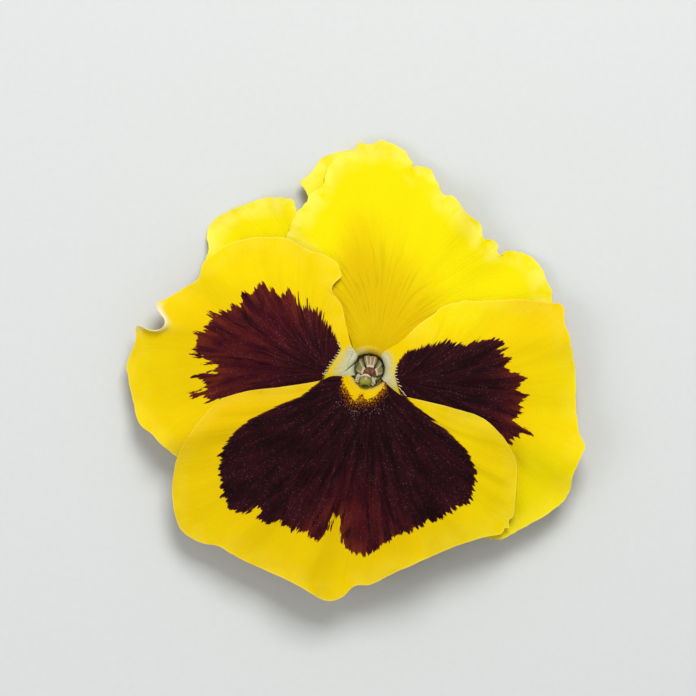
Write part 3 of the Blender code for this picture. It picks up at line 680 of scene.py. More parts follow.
def new_mesh(name, solid, marks, sharp_degrees=60):
    """A smooth piece from points in millimetres. A mark is up to three values at each point."""
    points, faces = solid
    mesh = bpy.data.meshes.new(name)
    mesh.from_pydata((np.asarray(points) * MM).tolist(), [], faces)
    mesh.shade_smooth()
    mesh.set_sharp_from_angle(angle=math.radians(sharp_degrees))
    for mark, values in marks.items():
        columns = np.zeros((len(points), 3), dtype=np.float32)
        for column, value in enumerate(values):
            columns[:, column] = value
        mesh.attributes.new(mark, "FLOAT_VECTOR", "POINT").data.foreach_set("vector", columns.ravel())
    piece = bpy.data.objects.new(name, mesh)
    bpy.context.scene.collection.objects.link(piece)
    return piece


def add_piece(name, solid, marks, look, node, sharp_degrees=60):
    """A piece of the flower that stands for a node of the frame."""
    piece = new_mesh(name, solid, marks, sharp_degrees)
    piece.data.materials.append(look)
    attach(piece, BODY)
    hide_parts(node)


def grid_faces(rows, columns, start=0, flip=False, closed=False):
    """Quads of a grid of points, row by row. A closed one joins its last column to its first."""
    index = start + np.arange(rows * columns).reshape(rows, columns)
    if closed:
        index = np.hstack((index, index[:, :1]))
    a, b = index[:-1, :-1], index[:-1, 1:]
    c, d = index[1:, 1:], index[1:, :-1]
    order = (a, b, c, d) if flip else (a, d, c, b)
    return np.stack([corner.ravel() for corner in order], axis=-1).tolist()


def solid_blade(grid, thickness):
    """Points and faces of a blade: both faces of a grid, and the rim between them."""
    rows, columns = grid.shape[:2]
    half = unit(np.cross(np.gradient(grid, axis=0), np.gradient(grid, axis=1)))
    half *= np.broadcast_to(thickness, grid.shape[:2])[..., None] / 2
    points = np.vstack(((grid + half).reshape(-1, 3), (grid - half).reshape(-1, 3)))
    count = rows * columns
    faces = grid_faces(rows, columns) + grid_faces(rows, columns, count, flip=True)
    index = np.arange(count).reshape(rows, columns)
    here = np.concatenate((index[0, :-1], index[:-1, -1], index[-1, :0:-1], index[:0:-1, 0]))
    there = np.roll(here, -1)
    return points, faces + np.stack((here, there, there + count, here + count), axis=-1).tolist()


def both_faces(*values):
    """The values of a mark for the two faces of a solid blade, from values on its grid."""
    return [np.tile(np.ravel(value), 2) for value in values]


def rings_of(centres, radii, along, sides, ridges=0, ridge=0.0):
    """Rings of points round centres, square to directions near the YZ plane."""
    along = unit(np.broadcast_to(along, centres.shape))
    aside = unit(np.array((1.0, 0.0, 0.0)) - along[:, :1] * along)
    above = np.cross(aside, along)
    turns = turns_round(sides)
    wide = radii[:, None] * (1.0 + ridge * np.cos(ridges * turns))
    rings = centres[:, None] + (wide * np.cos(turns))[..., None] * aside[:, None]
    return rings + (wide * np.sin(turns))[..., None] * above[:, None]


def solid_rings(rings):
    """Points and faces of a solid whose skin is these rings, with flat ends."""
    count, sides = rings.shape[:2]
    faces = grid_faces(count, sides, closed=True)
    faces.append(list(range(sides)))
    faces.append(list(range(count * sides - 1, (count - 1) * sides - 1, -1)))
    return rings.reshape(-1, 3), faces


def solid_hairs(roots, ways, lengths, radius, random, club=1.0, sides=5, third=0.0):
    """A solid and marks of short hairs that taper or, with a higher club, swell at the end."""
    count = len(roots)
    ways = unit(ways)
    aside = unit(np.cross(ways, ANY_WAY))
    other = np.cross(ways, aside)
    sag = random.uniform(-HAIR_SAG, HAIR_SAG, (count, 1)) * aside
    sag = sag + random.uniform(-HAIR_SAG, HAIR_SAG, (count, 1)) * other
    widths = np.array(HAIR_WIDTHS) * (1.0, 1.0, club, club, 1.0)
    turns = turns_round(sides)[:, None]
    ring = np.cos(turns) * aside[:, None] + np.sin(turns) * other[:, None]
    rings = []
    for share, width in zip(HAIR_SHARES, widths):
        centre = roots + (ways * share + sag * share**2) * lengths[:, None]
        rings.append(centre[:, None] + radius * width * ring)
    points = np.stack(rings, axis=1).reshape(-1, 3)
    size = len(HAIR_SHARES) * sides
    faces = []
    for start in range(0, count * size, size):
        faces += grid_faces(len(HAIR_SHARES), sides, start, closed=True)
        faces.append([start + side for side in range(sides)])
        faces.append([start + size - 1 - side for side in range(sides)])
    along = np.tile(np.repeat(HAIR_SHARES, sides), count)
    pick = np.repeat(random.uniform(0.0, 1.0, count), size)
    third = np.repeat(np.broadcast_to(third, count), size)
    return (points, faces), {"hair": (along, pick, third)}


def tube_rings(course, radii, count, sides, ridges=0, ridge=0.0):
    """Rings along a smooth course, with radii that lie evenly over it."""
    shares = steps(count)
    path = smooth_curve(course, shares)
    return rings_of(path, spread(radii, shares), np.gradient(path, axis=0), sides, ridges, ridge)


def over_rings(across, along):
    """The values of a mark over rings, from values round each ring and along the rings."""
    return np.tile(across, len(along)), np.repeat(along, len(across))


def fanned(direction, out, aside, height):
    """Points from how far out in a direction, aside from it and up they lie."""
    ahead, across = on_circle(1.0, np.array((direction, direction + 90)))
    return at_height(out[..., None] * ahead + aside[..., None] * across, height)


def joined(solids):
    """One solid from several that stay apart."""
    faces, start = [], 0
    for points, own_faces in solids:
        faces += [[start + corner for corner in face] for face in own_faces]
        start += len(points)
    return np.vstack([points for points, _ in solids]), faces


class Value:
    """A number that a material works out at each point of a surface."""

    def __init__(self, look, socket):
        self.look = look
        self.socket = socket

    def __add__(self, other):
        return self.look.math("ADD", self, other)

    def __sub__(self, other):
        return self.look.math("SUBTRACT", self, other)

    def __mul__(self, other):
        return self.look.math("MULTIPLY", self, other)

    def __abs__(self):
        return self.look.math("ABSOLUTE", self)

    def ease(self, start, end):
        """0 at start, 1 at end and a smooth step between."""
        inputs = {"Value": self, "From Min": start, "From Max": end}
        made = self.look.node("MapRange", inputs, interpolation_type="SMOOTHSTEP")
        return Value(self.look, made["Result"])


class Look:
    """A material and short ways to build its nodes. A colour is three numbers or a socket."""

    def __init__(self, name):
        self.material = bpy.data.materials.new(name)
        self.material.use_nodes = True
        self.nodes = self.material.node_tree.nodes
        self.links = self.material.node_tree.links
        self.surface = self.nodes["Principled BSDF"]

    def put(self, socket, value):
        """Sets a socket to a number or colour, or links it to what works it out."""
        if isinstance(value, Value):
            value = value.socket
        if isinstance(value, bpy.types.NodeSocket):
            self.links.new(value, socket)
        elif socket.type == "RGBA":
            socket.default_value = (*value, 1.0)
        else:
            socket.default_value = value

    def node(self, kind, inputs, **settings):
        """The outputs of a new node with some of its inputs set."""
        made = self.nodes.new("ShaderNode" + kind)
        for name, setting in settings.items():
            setattr(made, name, setting)
        for place, value in inputs.items():
            self.put(made.inputs[place], value)
        return made.outputs

    def math(self, operation, *values):
        return Value(self, self.node("Math", dict(enumerate(values)), operation=operation)[0])

    def mix(self, share, first, second):
        return self.node("Mix", {0: share, 6: first, 7: second}, data_type="RGBA")[2]

    def layered(self, colour, *coats):
        """A colour with coats laid on it in turn, each by its share."""
        for share, coat in coats:
            colour = self.mix(share, colour, coat)
        return colour

    def noise(self, vector, scale, detail=2.0, rough=0.5):
        inputs = {"Vector": vector, "Scale": scale, "Detail": detail, "Roughness": rough}
        return Value(self, self.node("TexNoise", inputs)["Fac"])

    def stretched(self, x, y, shift, detail=2.0, rough=0.5):
        """Noise over two values instead of a place. Another shift gives other noise."""
        return self.noise(self.node("CombineXYZ", {0: x, 1: y, 2: shift})[0], 1.0, detail, rough)

    def cells(self, vector, scale):
        """How far each point is from its cell's middle, and a random number for the cell."""
        made = self.node("TexVoronoi", {"Vector": vector, "Scale": scale})
        pick = self.node("SeparateColor", {0: made["Color"]})[0]
        return Value(self, made["Distance"]), Value(self, pick)

    def place(self):
        return self.node("TexCoord", {})["Object"]

    def mark(self, name):
        """The three values of a mark."""
        vector = self.node("Attribute", {}, attribute_name=name)["Vector"]
        return [Value(self, part) for part in self.node("SeparateXYZ", {0: vector})]

    def bump(self, height, distance, strength=1.0):
        """Height runs from 0 to 1, and distance is what 1 stands for, in metres."""
        inputs = {"Strength": strength, "Distance": distance, "Height": height}
        self.put(self.surface.inputs["Normal"], self.node("Bump", inputs)["Normal"])

    def finish(self, colour, roughness, specular=0.3, sheen=0.0, see_through=0.0):
        """Sets the surface. Some light passes through a leaf or petal."""
        inputs = {
            "Base Color": colour, "Roughness": roughness, "Specular IOR Level": specular,
            "Sheen Weight": sheen, "Sheen Roughness": 0.5,
        }
        for name, value in inputs.items():
            self.put(self.surface.inputs[name], value)
        if see_through:
            glow = self.node("BsdfTranslucent", {"Color": colour})[0]
            both = self.node("MixShader", {0: see_through, 1: self.surface.outputs[0], 2: glow})[0]
            self.put(self.nodes["Material Output"].inputs["Surface"], both)
        return self.material


def petal_look(name, golden, lemon, glow_share, vein_strength, seed):
    """Velvety yellow with fanning veins, a feathered maroon blotch and the throat's pale floor."""
    look = Look(name)
    fan, reach, patch = look.mark("rays")
    blotch, rim, pale = look.mark("marks")
    tone_and_light, red, spike = look.mark("tones")
    front, cream, crease = look.mark("side")
    place = look.place()

    def along_veins(across, out, shift=0.0, detail=2.0, rough=0.5, way=fan):
        """Noise drawn out along the veins, by how often it changes across and along them."""
        return look.stretched(way * across, reach * out, seed + shift, detail, rough)

    # Veins: fine, evenly spread lines that sway a little, and softer streaks between them
    sway = along_veins(9.0, 0.05)
    line = look.math("SINE", fan * 118.0 + sway * 22.0).ease(0.45, 1.0)
    streaks = along_veins(90.0, 0.10)
    patchy = look.noise(place, 210.0)

    # Yellow, deeper near the throat and paler at the margin, with painted light and shade in its tone
    tone = tone_and_light + patchy * 0.3 + streaks * 0.2
    shade = tuple(0.66 * value for value in golden)
    fade = reach.ease(3.0, 7.0) * reach.ease(27.0, 15.0) * tone.ease(1.2, 0.6)
    fade = fade * patchy.ease(0.35, 0.62) * vein_strength
    # Painted glow of light through the thin margin, in patches
    margin_glow = rim.ease(5.0, 0.4) * look.noise(place, 330.0).ease(0.30, 0.60)
    yellow = look.layered(
        golden,
        (tone.ease(0.25, 1.25), lemon),
        (line * fade, shade),
        (streaks.ease(0.5, 0.72) * fade * 0.6, shade),
        # Painted glow at the margin
        (margin_glow * glow_share, (1.0, 0.91, 0.14)),
        # Painted highlight along the lit edge
        (rim.ease(0.30, 0.08) * 0.25, (1.0, 0.93, 0.22)),
        (cream, (0.93, 0.86, 0.52)),
    )

    # Pale floor of the throat, whitest at its rim
    tissue = look.noise(place, 2600.0, 3.0, 0.6)
    floor = look.layered(
        (0.72, 0.60, 0.16),
        (pale.ease(0.30, 0.95), (0.65, 0.63, 0.39)),
        (tissue.ease(0.45, 0.75) * 0.5, (0.84, 0.79, 0.58)),
        (pale.ease(1.0, 2.0) * tissue.ease(0.25, 0.55), (0.84, 0.79, 0.60)),
    )

    # Speckled ring round the lower petal's yellow patch, from orange into the dark blotch, over the
    # floor and the crease's painted shade
    past = patch * -1.0
    grain = look.noise(place, 4200.0, 1.0) * 0.5 + along_veins(34.0, 0.9, rough=0.6) * 0.5
    turning = past - grain.ease(0.34, 0.66) * 1.35
    orange = look.mix(turning.ease(-0.75, -0.2), (0.85, 0.38, 0.004), (0.19, 0.018, 0.004))
    yellow = look.layered(
        yellow,
        (pale.ease(0.0, 0.35), floor),
        # Painted shade along the crease
        (crease, (0.05, 0.09, 0.015)),
        (turning.ease(-1.05, -0.5) * past.ease(4.0, 2.0), orange),
    )

    # Blotch: spikes run along the veins, between the outline and so far inside it
    bent = fan + (look.noise(place, 620.0) - 0.5) * 0.012
    broad = along_veins(26.0, 0.05, 3.0, 1.5, way=bent).ease(0.33, 0.66)
    fine = along_veins(108.0, 0.42, 9.0, 3.0, 0.65, bent).ease(0.30, 0.70)
    teeth = along_veins(56.0, 0.22, 6.0, way=bent).ease(0.34, 0.66)
    feather = broad * 0.28 + teeth * 0.40 + fine * 0.32
    inside = blotch - (feather - 0.22) * spike
    covered = inside.ease(-0.10, 0.12) * turning.ease(-0.3, 0.05)

    # Its maroon: dusky to wine red, thinner near its edge, with darker veins, a nap and painted glints
    dusk = along_veins(15.0, 0.13, detail=3.0, rough=0.6)
    dusky = dusk.ease(0.35, 0.65)
    deep = look.mix(dusky, (0.0095, 0.0022, 0.0032), (0.029, 0.0045, 0.0075))
    wine = look.mix(dusky, (0.046, 0.0034, 0.0085), (0.098, 0.0095, 0.0090))
    reddened = red + (streaks - 0.5) + broad * 0.25
    thin = (blotch - spike).ease(2.2, -0.6) * broad.ease(0.25, 0.9) * red.ease(0.1, 0.9)
    dark_line = look.math("SINE", fan * 62.0 + sway * 20.0).ease(0.62, 1.0)
    dark_line = dark_line * along_veins(26.0, 0.2).ease(0.40, 0.60)
    nap = along_veins(150.0, 1.3, 12.0, 3.0, 0.7)
    distance, pick = look.cells(place, 3900.0)
    # Painted glints off the velvet's papillae
    painted_glint = pick.ease(0.72, 0.95) * distance.ease(0.42, 0.05) * dusk.ease(0.30, 0.60)
    maroon = look.layered(
        deep,
        (reddened.ease(0.05, 1.15), wine),
        (thin * 0.6, (0.20, 0.028, 0.009)),
        (dark_line * 0.75, (0.006, 0.0016, 0.0026)),
        (nap.ease(0.50, 0.72) * 0.32, (0.085, 0.016, 0.022)),
        (nap.ease(0.50, 0.30) * 0.45, (0.008, 0.002, 0.003)),
        (inside.ease(0.50, 0.0) * (red * 0.45 + 0.3), (0.17, 0.022, 0.006)),
        (painted_glint * 0.6, (0.26, 0.15, 0.23)),
    )

    # The back shows the blotch only as a dull shadow
    shadow = look.mix(0.45, yellow, (0.20, 0.09, 0.02))
    colour = look.mix(covered, yellow, look.mix(front, shadow, maroon))
    papillae, _ = look.cells(place, 5200.0)
    look.bump(papillae * 0.35 - line * vein_strength + streaks * 0.6, 0.00012, 0.55)
    rough = papillae * 0.2 + 0.66
    return look.finish(colour, rough, specular=0.05, sheen=0.02, see_through=0.22)


def petal_marks(petal, grid, rim):
    """What the petal's material reads: rays, the blotch and the tones of its yellow, painted light and
    shade among them.
    """
    x, y = grid[..., 0], grid[..., 1]
    fan, reach = petal_rays(petal, x, y)
    radius, angle = np.hypot(x, y), np.degrees(np.arctan2(y, x)) % 360.0
    red = cream = crease = np.zeros_like(x)
    patch = blotch = np.full_like(x, NO_MARKING)
    if petal.node in BLOTCHES:
        blotch = inside_marking(x, y, BLOTCHES[petal.node])
    pale = ease(0.9, -3.0, radius - around(PALE_FLOOR, angle))
    for _, down_petal, line in DOWN:
        if down_petal is petal:
            pale = pale * (1.0 + hill(distance_to(line, x, y), 0.0, DOWN_GLOW))
    tucked = (10.0, 5.0)
    spike = 2.0
    if petal is LOWER:
        patch = inside_marking(x, y, YELLOW_PATCH)
        # The speckled ring narrows to nothing where the patch reaches the petal's sides
        fringe = ease(200.0, 218.0, angle) * ease(322.0, 306.0, angle)
        patch = np.where(patch < 0.0, patch / between(0.2, 1.0, fringe), patch)
        sides = ease(202.0, 214.0, angle) * ease(330.0, 308.0, angle)
        spike = (1.3 + 0.5 * ease(23.0, 30.0, reach)) * between(0.35, 1.0, sides)
        red = 0.9 * hill(fan, -0.03, 0.24) * ease(12.0, 27.0, reach)
        pale = 0.24 * ease(4.3, 3.0, radius)
        # Lighter far out; lighter to the right and darker at the upper left are painted light and shade
        tone_and_light = 0.22 + 0.12 * ease(24.0, 38.0, reach) + 0.25 * ease(6.0, 20.0, x)
        tone_and_light -= 0.15 * ease(-16.0, -6.0, y) * ease(0.0, -8.0, x)
    elif petal is LEFT:
        spike = 1.6 + 0.9 * ease(-23.0, -29.0, x)
        red = 0.25 + 0.75 * ease(5.0, 15.0, reach)
        # Lighter towards the top: painted light where the petal faces up
        tone_and_light = 0.34 + 0.26 * ease(9.0, 20.0, y) + 0.10 * ease(26.0, 34.0, reach)
        # The crease's mark also sets where its painted shade goes
        crease, cream = crease_share(x, y), roll_share(x, y, rim)
    elif petal is RIGHT:
        spike = 1.5 + 0.6 * ease(-6.0, -12.0, y)
        red = 0.12 + 0.55 * ease(15.0, 22.0, reach)
        tone_and_light = 0.36 + 0.35 * ease(16.0, 32.0, reach) * ease(14.0, 0.0, np.abs(y + 4.0))
        # Lighter at the top and at the bottom: painted light
        tone_and_light += 0.5 * ease(3.0, 10.0, y) * ease(30.0, 16.0, x) + 0.45 * ease(-9.0, -18.0, y)
    else:
        tucked = (20.0, 13.0)
        tone_and_light = ease(0.45, 1.3, radius / around(GOLDEN_HOLLOW, angle))
        tone_and_light += 0.22 * hill(radius, 6.5, 3.0) * ease(75.0, 105.0, angle)
        pale = (0.12 + 0.26 * ease(85.0, 120.0, angle)) * ease(4.8, 2.8, radius)
        if petal is UPPER_LEFT:
            tone_and_light = 0.8 + 0.2 * ease(10.0, 26.0, reach)
    spike = spike * between(0.22, 1.0, ease(5.0, 12.0, radius))
    # A side that is tucked in near the throat doesn't get the margin's painted glow and highlight
    margin = rim + 5.0 * ease(*tucked, radius)
    front = np.repeat((1.0, 0.0), x.size)
    return {
        "rays": both_faces(fan, reach, patch),
        "marks": both_faces(blotch, margin, pale),
        "tones": both_faces(tone_and_light, red, spike),
        "side": (front, *both_faces(cream, crease)),
    }


def make_petals():
    """All petals, front to back, each clear of those in front of it."""
    looks = {
        "front_petal": petal_look(
            "petal_front_yellow", (0.87, 0.575, 0.0005), (0.94, 0.78, 0.001), 0.10, 0.07, 2.0
        ),
        "upper_petal": petal_look(
            "petal_upper_yellow", (0.80, 0.54, 0.0005), (0.94, 0.80, 0.001), 0.7, 0.32, 5.0
        ),
    }
    for index, petal in enumerate(PETALS):
        plain = petal_grid(petal)
        rim = edge_distance(plain)
        grid = add_relief(petal, plain, rim, PETALS[:index])
        thick = between(MARGIN_THICKNESS, PETAL_THICKNESS, ease(0.0, THINNING_REACH, rim))
        slot = "upper_petal" if petal in (UPPER_RIGHT, UPPER_LEFT) else "front_petal"
        add_piece(
            petal.node + "_blade", solid_blade(grid, thick), petal_marks(petal, grid, rim),
            looks[slot], petal.node,
        )


def make_spur():
    """Blunt hollow-looking spur behind the lower petal."""
    look = Look("spur_skin")
    tone = look.noise(look.place(), 700.0, 3.0, 0.6)
    colour = look.layered(
        (0.80, 0.66, 0.05),
        (look.mark("along")[0].ease(0.15, 1.0), (0.50, 0.50, 0.14)),
        (tone.ease(0.35, 0.8), (0.62, 0.60, 0.26)),
    )
    look.bump(tone, 0.00008, 0.6)
    skin = look.finish(colour, 0.55, specular=0.25, see_through=0.12)
    solid = solid_rings(tube_rings(SPUR_PATH, SPUR_RADII, SPUR_RINGS, SPUR_SIDES))
    marks = {"along": [np.repeat(steps(SPUR_RINGS), SPUR_SIDES)]}
    add_piece("petal_lower_spur", solid, marks, skin, "petal_lower")


def hair_look(name, low, high, odd, odd_from, see_through=0.3):
    """Hairs shade from one colour at the root to another at the tip, and some differ."""
    look = Look(name)
    along, pick, _ = look.mark("hair")
    colour = look.layered(
        low, (along.ease(0.05, 0.8), high), (pick.ease(odd_from, odd_from + 0.15), odd)
    )
    look.bump(look.noise(look.place(), 9000.0), 0.00002, 0.5)
    return look.finish(colour, 0.4, specular=0.35, see_through=see_through)


def papilla_look():
    """Orange and red-brown near the yellow patch, then near black with a few pale pink ones."""
    look = Look("papillae_skin")
    along, pick, past = look.mark("hair")
    far = look.mix(pick.ease(0.70, 0.90), (0.022, 0.006, 0.007), (0.46, 0.25, 0.20))
    colour = look.layered(
        (0.20, 0.022, 0.004),
        (pick.ease(0.45, 0.65), (0.75, 0.26, 0.012)),
        (pick.ease(0.78, 0.84), (0.05, 0.008, 0.004)),
        (past.ease(0.10, 0.62), far),
        (along.ease(0.7, 0.1), (0.05, 0.008, 0.003)),
    )
    look.bump(look.noise(look.place(), 9000.0), 0.00002, 0.5)
    return look.finish(colour, 0.35, specular=0.35, see_through=0.15)


def plant_hairs(name, petal, plan, ways, lengths, radius, look, random, **shape):
    """A piece of hairs that grow from plan points on a petal."""
    roots = at_height(plan, petal_top(petal, *plan.T) - HAIR_ROOT_DEPTH)
    solid, marks = solid_hairs(roots, ways, lengths, radius, random, **shape)
    add_piece(name, solid, marks, look, petal.node)


def make_hairs():
    """White beards and down beside the throat, and papillae round the yellow patch."""
    random = np.random.default_rng(11)
    beard = hair_look("beard_hairs", (0.80, 0.70, 0.22), (0.92, 0.90, 0.78), (0.90, 0.84, 0.50), 0.8)
    for name, petal, line in BEARDS:
        shares = steps(int(fine_curve(line)[1][-1] / BEARD_PITCH))
        count = len(shares)
        plan = smooth_curve(line, shares) + random.normal(0.0, 0.05, (count, 2))
        turn = np.arctan2(plan[:, 1], plan[:, 0]) + random.normal(0.0, 0.22, count)
        ways = at_height(on_circle(1.0, np.degrees(turn)), random.uniform(0.15, 0.40, count))
        lengths = between(*BEARD_LENGTHS, shares**0.6) * random.uniform(0.75, 1.2, count)
        plant_hairs(name, petal, plan, ways, lengths, BEARD_RADIUS, beard, random, sides=7)

    downy = hair_look("down_hairs", (0.82, 0.82, 0.68), (0.95, 0.95, 0.90), (0.90, 0.88, 0.72), 0.7)
    for name, petal, line in DOWN:
        plan = smooth_curve(line, random.uniform(0.0, 1.0, DOWN_HAIRS))
        plan = plan + random.normal(0.0, DOWN_SPREAD, (DOWN_HAIRS, 2))
        room = inside_by(*plan.T, petal_outline(petal))
        plan = plan[(np.hypot(*plan.T) > CLAW_RADIUS + 0.2) & (room > 0.3)]
        ways = at_height(random.normal(0.0, 0.5, plan.shape) + 0.12 * plan, 0.7)
        lengths = DOWN_LENGTH * random.uniform(0.6, 1.2, len(plan))
        plant_hairs(name, petal, plan, ways, lengths, DOWN_RADIUS, downy, random)

    plan = random.uniform(*PAPILLAE_BOX, (PAPILLAE_TRIED, 2))
    past = -inside_marking(*plan.T, YELLOW_PATCH)
    turn = np.degrees(np.arctan2(plan[:, 1], plan[:, 0])) % 360
    reach = PAPILLAE_REACH * ease(202.0, 232.0, turn) * ease(322.0, 292.0, turn)
    chosen = (past > -0.3) & (past < reach * random.uniform(0.0, 1.0, len(plan)) ** 0.7)
    plan, past = plan[chosen][:PAPILLAE], past[chosen][:PAPILLAE]
    ways = at_height(0.08 * plan + random.normal(0.0, 0.3, plan.shape), 1.0)
    lengths = PAPILLA_LENGTH * random.uniform(0.6, 1.3, len(plan))
    plant_hairs(
        "patch_papillae", LOWER, plan, ways, lengths, PAPILLA_RADIUS, papilla_look(), random,
        club=1.6, third=past / PAPILLAE_REACH,
    )


def cone_lean(points):
    """Leans the stamens' points towards the lower petal, more the higher they are."""
    leaned = points.copy()
    leaned[..., 1] -= CONE_LEAN * ease(*CONE_LEAN_HEIGHTS, points[..., 2])
    return leaned


def anther_look():
    """Greenish tan anthers with cream stripes, one of them pinker, and red-brown tips."""
    look = Look("anther_skin")
    across, along, kind = look.mark("anther")
    pink = look.mark("hue")[0]
    grain = look.noise(look.place(), 5200.0, 3.0, 0.6)
    olive = look.mix(grain, (0.12, 0.125, 0.03), (0.30, 0.29, 0.10))
    rose = look.mix(grain, (0.16, 0.105, 0.045), (0.36, 0.25, 0.13))
    wide = abs(across)
    broad_stripe = abs(wide - 0.62).ease(0.17, 0.04)
    fine_stripes = look.math("SINE", across * 10.5 + 1.57).ease(0.25, 0.9)
    stripes = (broad_stripe + pink * (fine_stripes - broad_stripe)) * 0.75
    cream = look.math("MAXIMUM", stripes, along.ease(0.955, 0.99))
    body = look.layered(
        olive,
        (pink, rose),
        # Darker lower down: painted shade of the throat
        (along.ease(0.78, 0.52), (0.14, 0.15, 0.035)),
        (cream * along.ease(0.35, 0.6), (0.60, 0.46, 0.29)),
        # Painted shade down the sides where the anthers press together, near black at the foot deep in
        # the throat
        (wide.ease(0.86, 1.0), (0.07, 0.075, 0.02)),
        (along.ease(0.45, 0.1), (0.05, 0.07, 0.012)),
    )
    brown = look.layered(
        (0.035, 0.009, 0.005),
        (grain.ease(0.35, 0.68), (0.28, 0.09, 0.04)),
        # Painted highlight along the tips' edges
        (wide.ease(0.8, 1.0), (0.42, 0.20, 0.10)),
    )
    look.bump(grain, 0.00006, 0.8)
    return look.finish(look.mix(kind, body, brown), 0.5, specular=0.3, see_through=0.12)


def anther_section():
    """Outline of an anther's rings: two lobes with a groove between and finer grooves on each."""
    turns = turns_round(ANTHER_SIDES)
    aside = np.sign(np.cos(turns)) * np.abs(np.cos(turns)) ** 0.85
    groove = 0.30 * hill(aside, 0.0, 0.16) + 0.12 * hill(np.abs(aside), 0.55, 0.10)
    return aside, np.sin(turns) * (1.0 - groove * (np.sin(turns) > 0))


def make_stamens():
    """Five anthers pressed together round the ovary, with brown tips over the style."""
    aside, depth = anther_section()
    shares = steps(ANTHER_RINGS)
    line = smooth_curve(ANTHER_LINE, shares)
    out = line[:, :1] + spread(ANTHER_HALF_DEPTH, shares)[:, None] * depth
    half_width = spread(ANTHER_HALF_WIDTH, shares)[:, None]
    tip_shares, over = steps(TIP_ROWS), np.linspace(-1.0, 1.0, TIP_COLUMNS)
    solids, values = [], []
    for turn in ANTHER_TURNS:
        rings = fanned(turn, out, half_width * aside, line[:, 1:])
        solids.append(solid_rings(cone_lean(rings)))
        pink = 1.0 if turn == PINKEST_ANTHER else 0.15
        values.append((*over_rings(aside, shares), 0.0, pink))

        beside_style = on_circle(1.0, turn)[1] <= 0
        part = tip_shares * (SHORT_TIP_SHARE if beside_style else 1.0)
        tip_line = smooth_curve(TIP_LINE, part)
        width = spread(TIP_HALF_WIDTH, part) * np.sqrt(np.clip(1.04 - tip_shares**6, 0.0, 1.0))
        wrinkle = smooth_noise(over * 4 + turn, tip_shares[:, None] * 5, 1.0, turn)
        height = tip_line[:, 1:] + 0.13 * (1.0 - over**2) + 0.05 * wrinkle
        grid = fanned(turn, tip_line[:, :1], width[:, None] * over, height)
        solids.append(solid_blade(cone_lean(grid), TIP_THICKNESS))
        values.append((*both_faces(*np.meshgrid(over, tip_shares)), 1.0, 0.0))
    across, along, kind, pink = np.hstack([np.broadcast_arrays(*each) for each in values])
    marks = {"anther": (across, along, kind), "hue": (pink,)}
    add_piece("stamens", joined(solids), marks, anther_look(), "anther_cone", 80)


def pistil_look():
    """Green style and head, with a pinkish white back, a pale rim, and painted shade at its outline and
    in its cavity.
    """
    look = Look("pistil_skin")
    along, edge, _ = look.mark("along")
    tone = look.noise(look.place(), 2600.0, 3.0, 0.6)
    rim = look.mix(tone, (0.26, 0.25, 0.01), (0.36, 0.33, 0.03))
    colour = look.layered(
        (0.17, 0.135, 0.04),
        (tone.ease(0.3, 0.75), (0.38, 0.31, 0.12)),
        (along.ease(0.42, 0.56), (0.33, 0.32, 0.03)),
        # Painted shade round the head's outline as seen from above
        (edge.ease(0.72, 1.0), (0.07, 0.07, 0.014)),
        (along.ease(0.36, 0.22) * edge.ease(0.70, 0.84), (0.88, 0.70, 0.50)),
        (along.ease(0.66, 0.71), rim),
        # Painted shade inside the cavity
        (along.ease(0.77, 0.83), (0.06, 0.075, 0.003)),
        (along.ease(-0.02, -0.10), (0.40, 0.43, 0.14)),
    )
    look.bump(tone, 0.00006, 0.5)
    return look.finish(colour, 0.3, specular=0.5, see_through=0.2)


def make_pistil():
    """Ovary, bent style and the round head with its cavity towards the lower petal."""
    centre, way = np.array(HEAD_CENTRE), unit(np.array(HEAD_WAY))
    ball = on_circle(1.0, np.linspace(HEAD_BACK, HEAD_OPENING, HEAD_ARC_POINTS))
    shares = steps(HEAD_RINGS)
    profile = HEAD_RADIUS * smooth_curve(np.vstack((ball, CAVITY)), shares)
    head = rings_of(centre + profile[:, :1] * way, profile[:, 1], way, PISTIL_SIDES)
    low = np.clip(np.sin(turns_round(PISTIL_SIDES)), 0.0, 1.0)
    lip = HEAD_LIP * ease(0.45, 0.68, shares) * ease(0.90, 0.74, shares)
    head = head + (lip[:, None] * low)[..., None] * way
    stem = tube_rings(PISTIL_PATH, PISTIL_RADII, STEM_RINGS, PISTIL_SIDES)
    points, faces = solid_rings(np.concatenate((stem, head)))
    along = np.repeat(np.concatenate((np.full(STEM_RINGS, -0.2), shares)), PISTIL_SIDES)
    # How far out from the head's middle each point lies in plan, read for its painted shade
    edge = np.hypot(*(points - centre)[:, :2].T) / HEAD_RADIUS
    marks = {"along": (along, np.where(along < 0.0, 0.0, edge))}
    add_piece("pistil_fine", (points, faces), marks, pistil_look(), "pistil", 80)

    look = hair_look("style_hairs", (0.66, 0.66, 0.38), (0.90, 0.88, 0.68), (0.80, 0.80, 0.46), 0.7, 0.4)
    random = np.random.default_rng(23)
    for name, side in TUFTS:
        ways = unit(np.array(side) + random.normal(0.0, 0.20, (TUFT_HAIRS, 3)))
        roots = centre + ways * (HEAD_RADIUS - TUFT_ROOT_DEPTH)
        ways = ways + random.normal(0.0, 0.35, (TUFT_HAIRS, 3))
        lengths = TUFT_LENGTH * random.uniform(0.5, 1.15, TUFT_HAIRS)
        solid, marks = solid_hairs(roots, ways, lengths, TUFT_RADIUS, random)
        add_piece(name, solid, marks, look, "pistil")


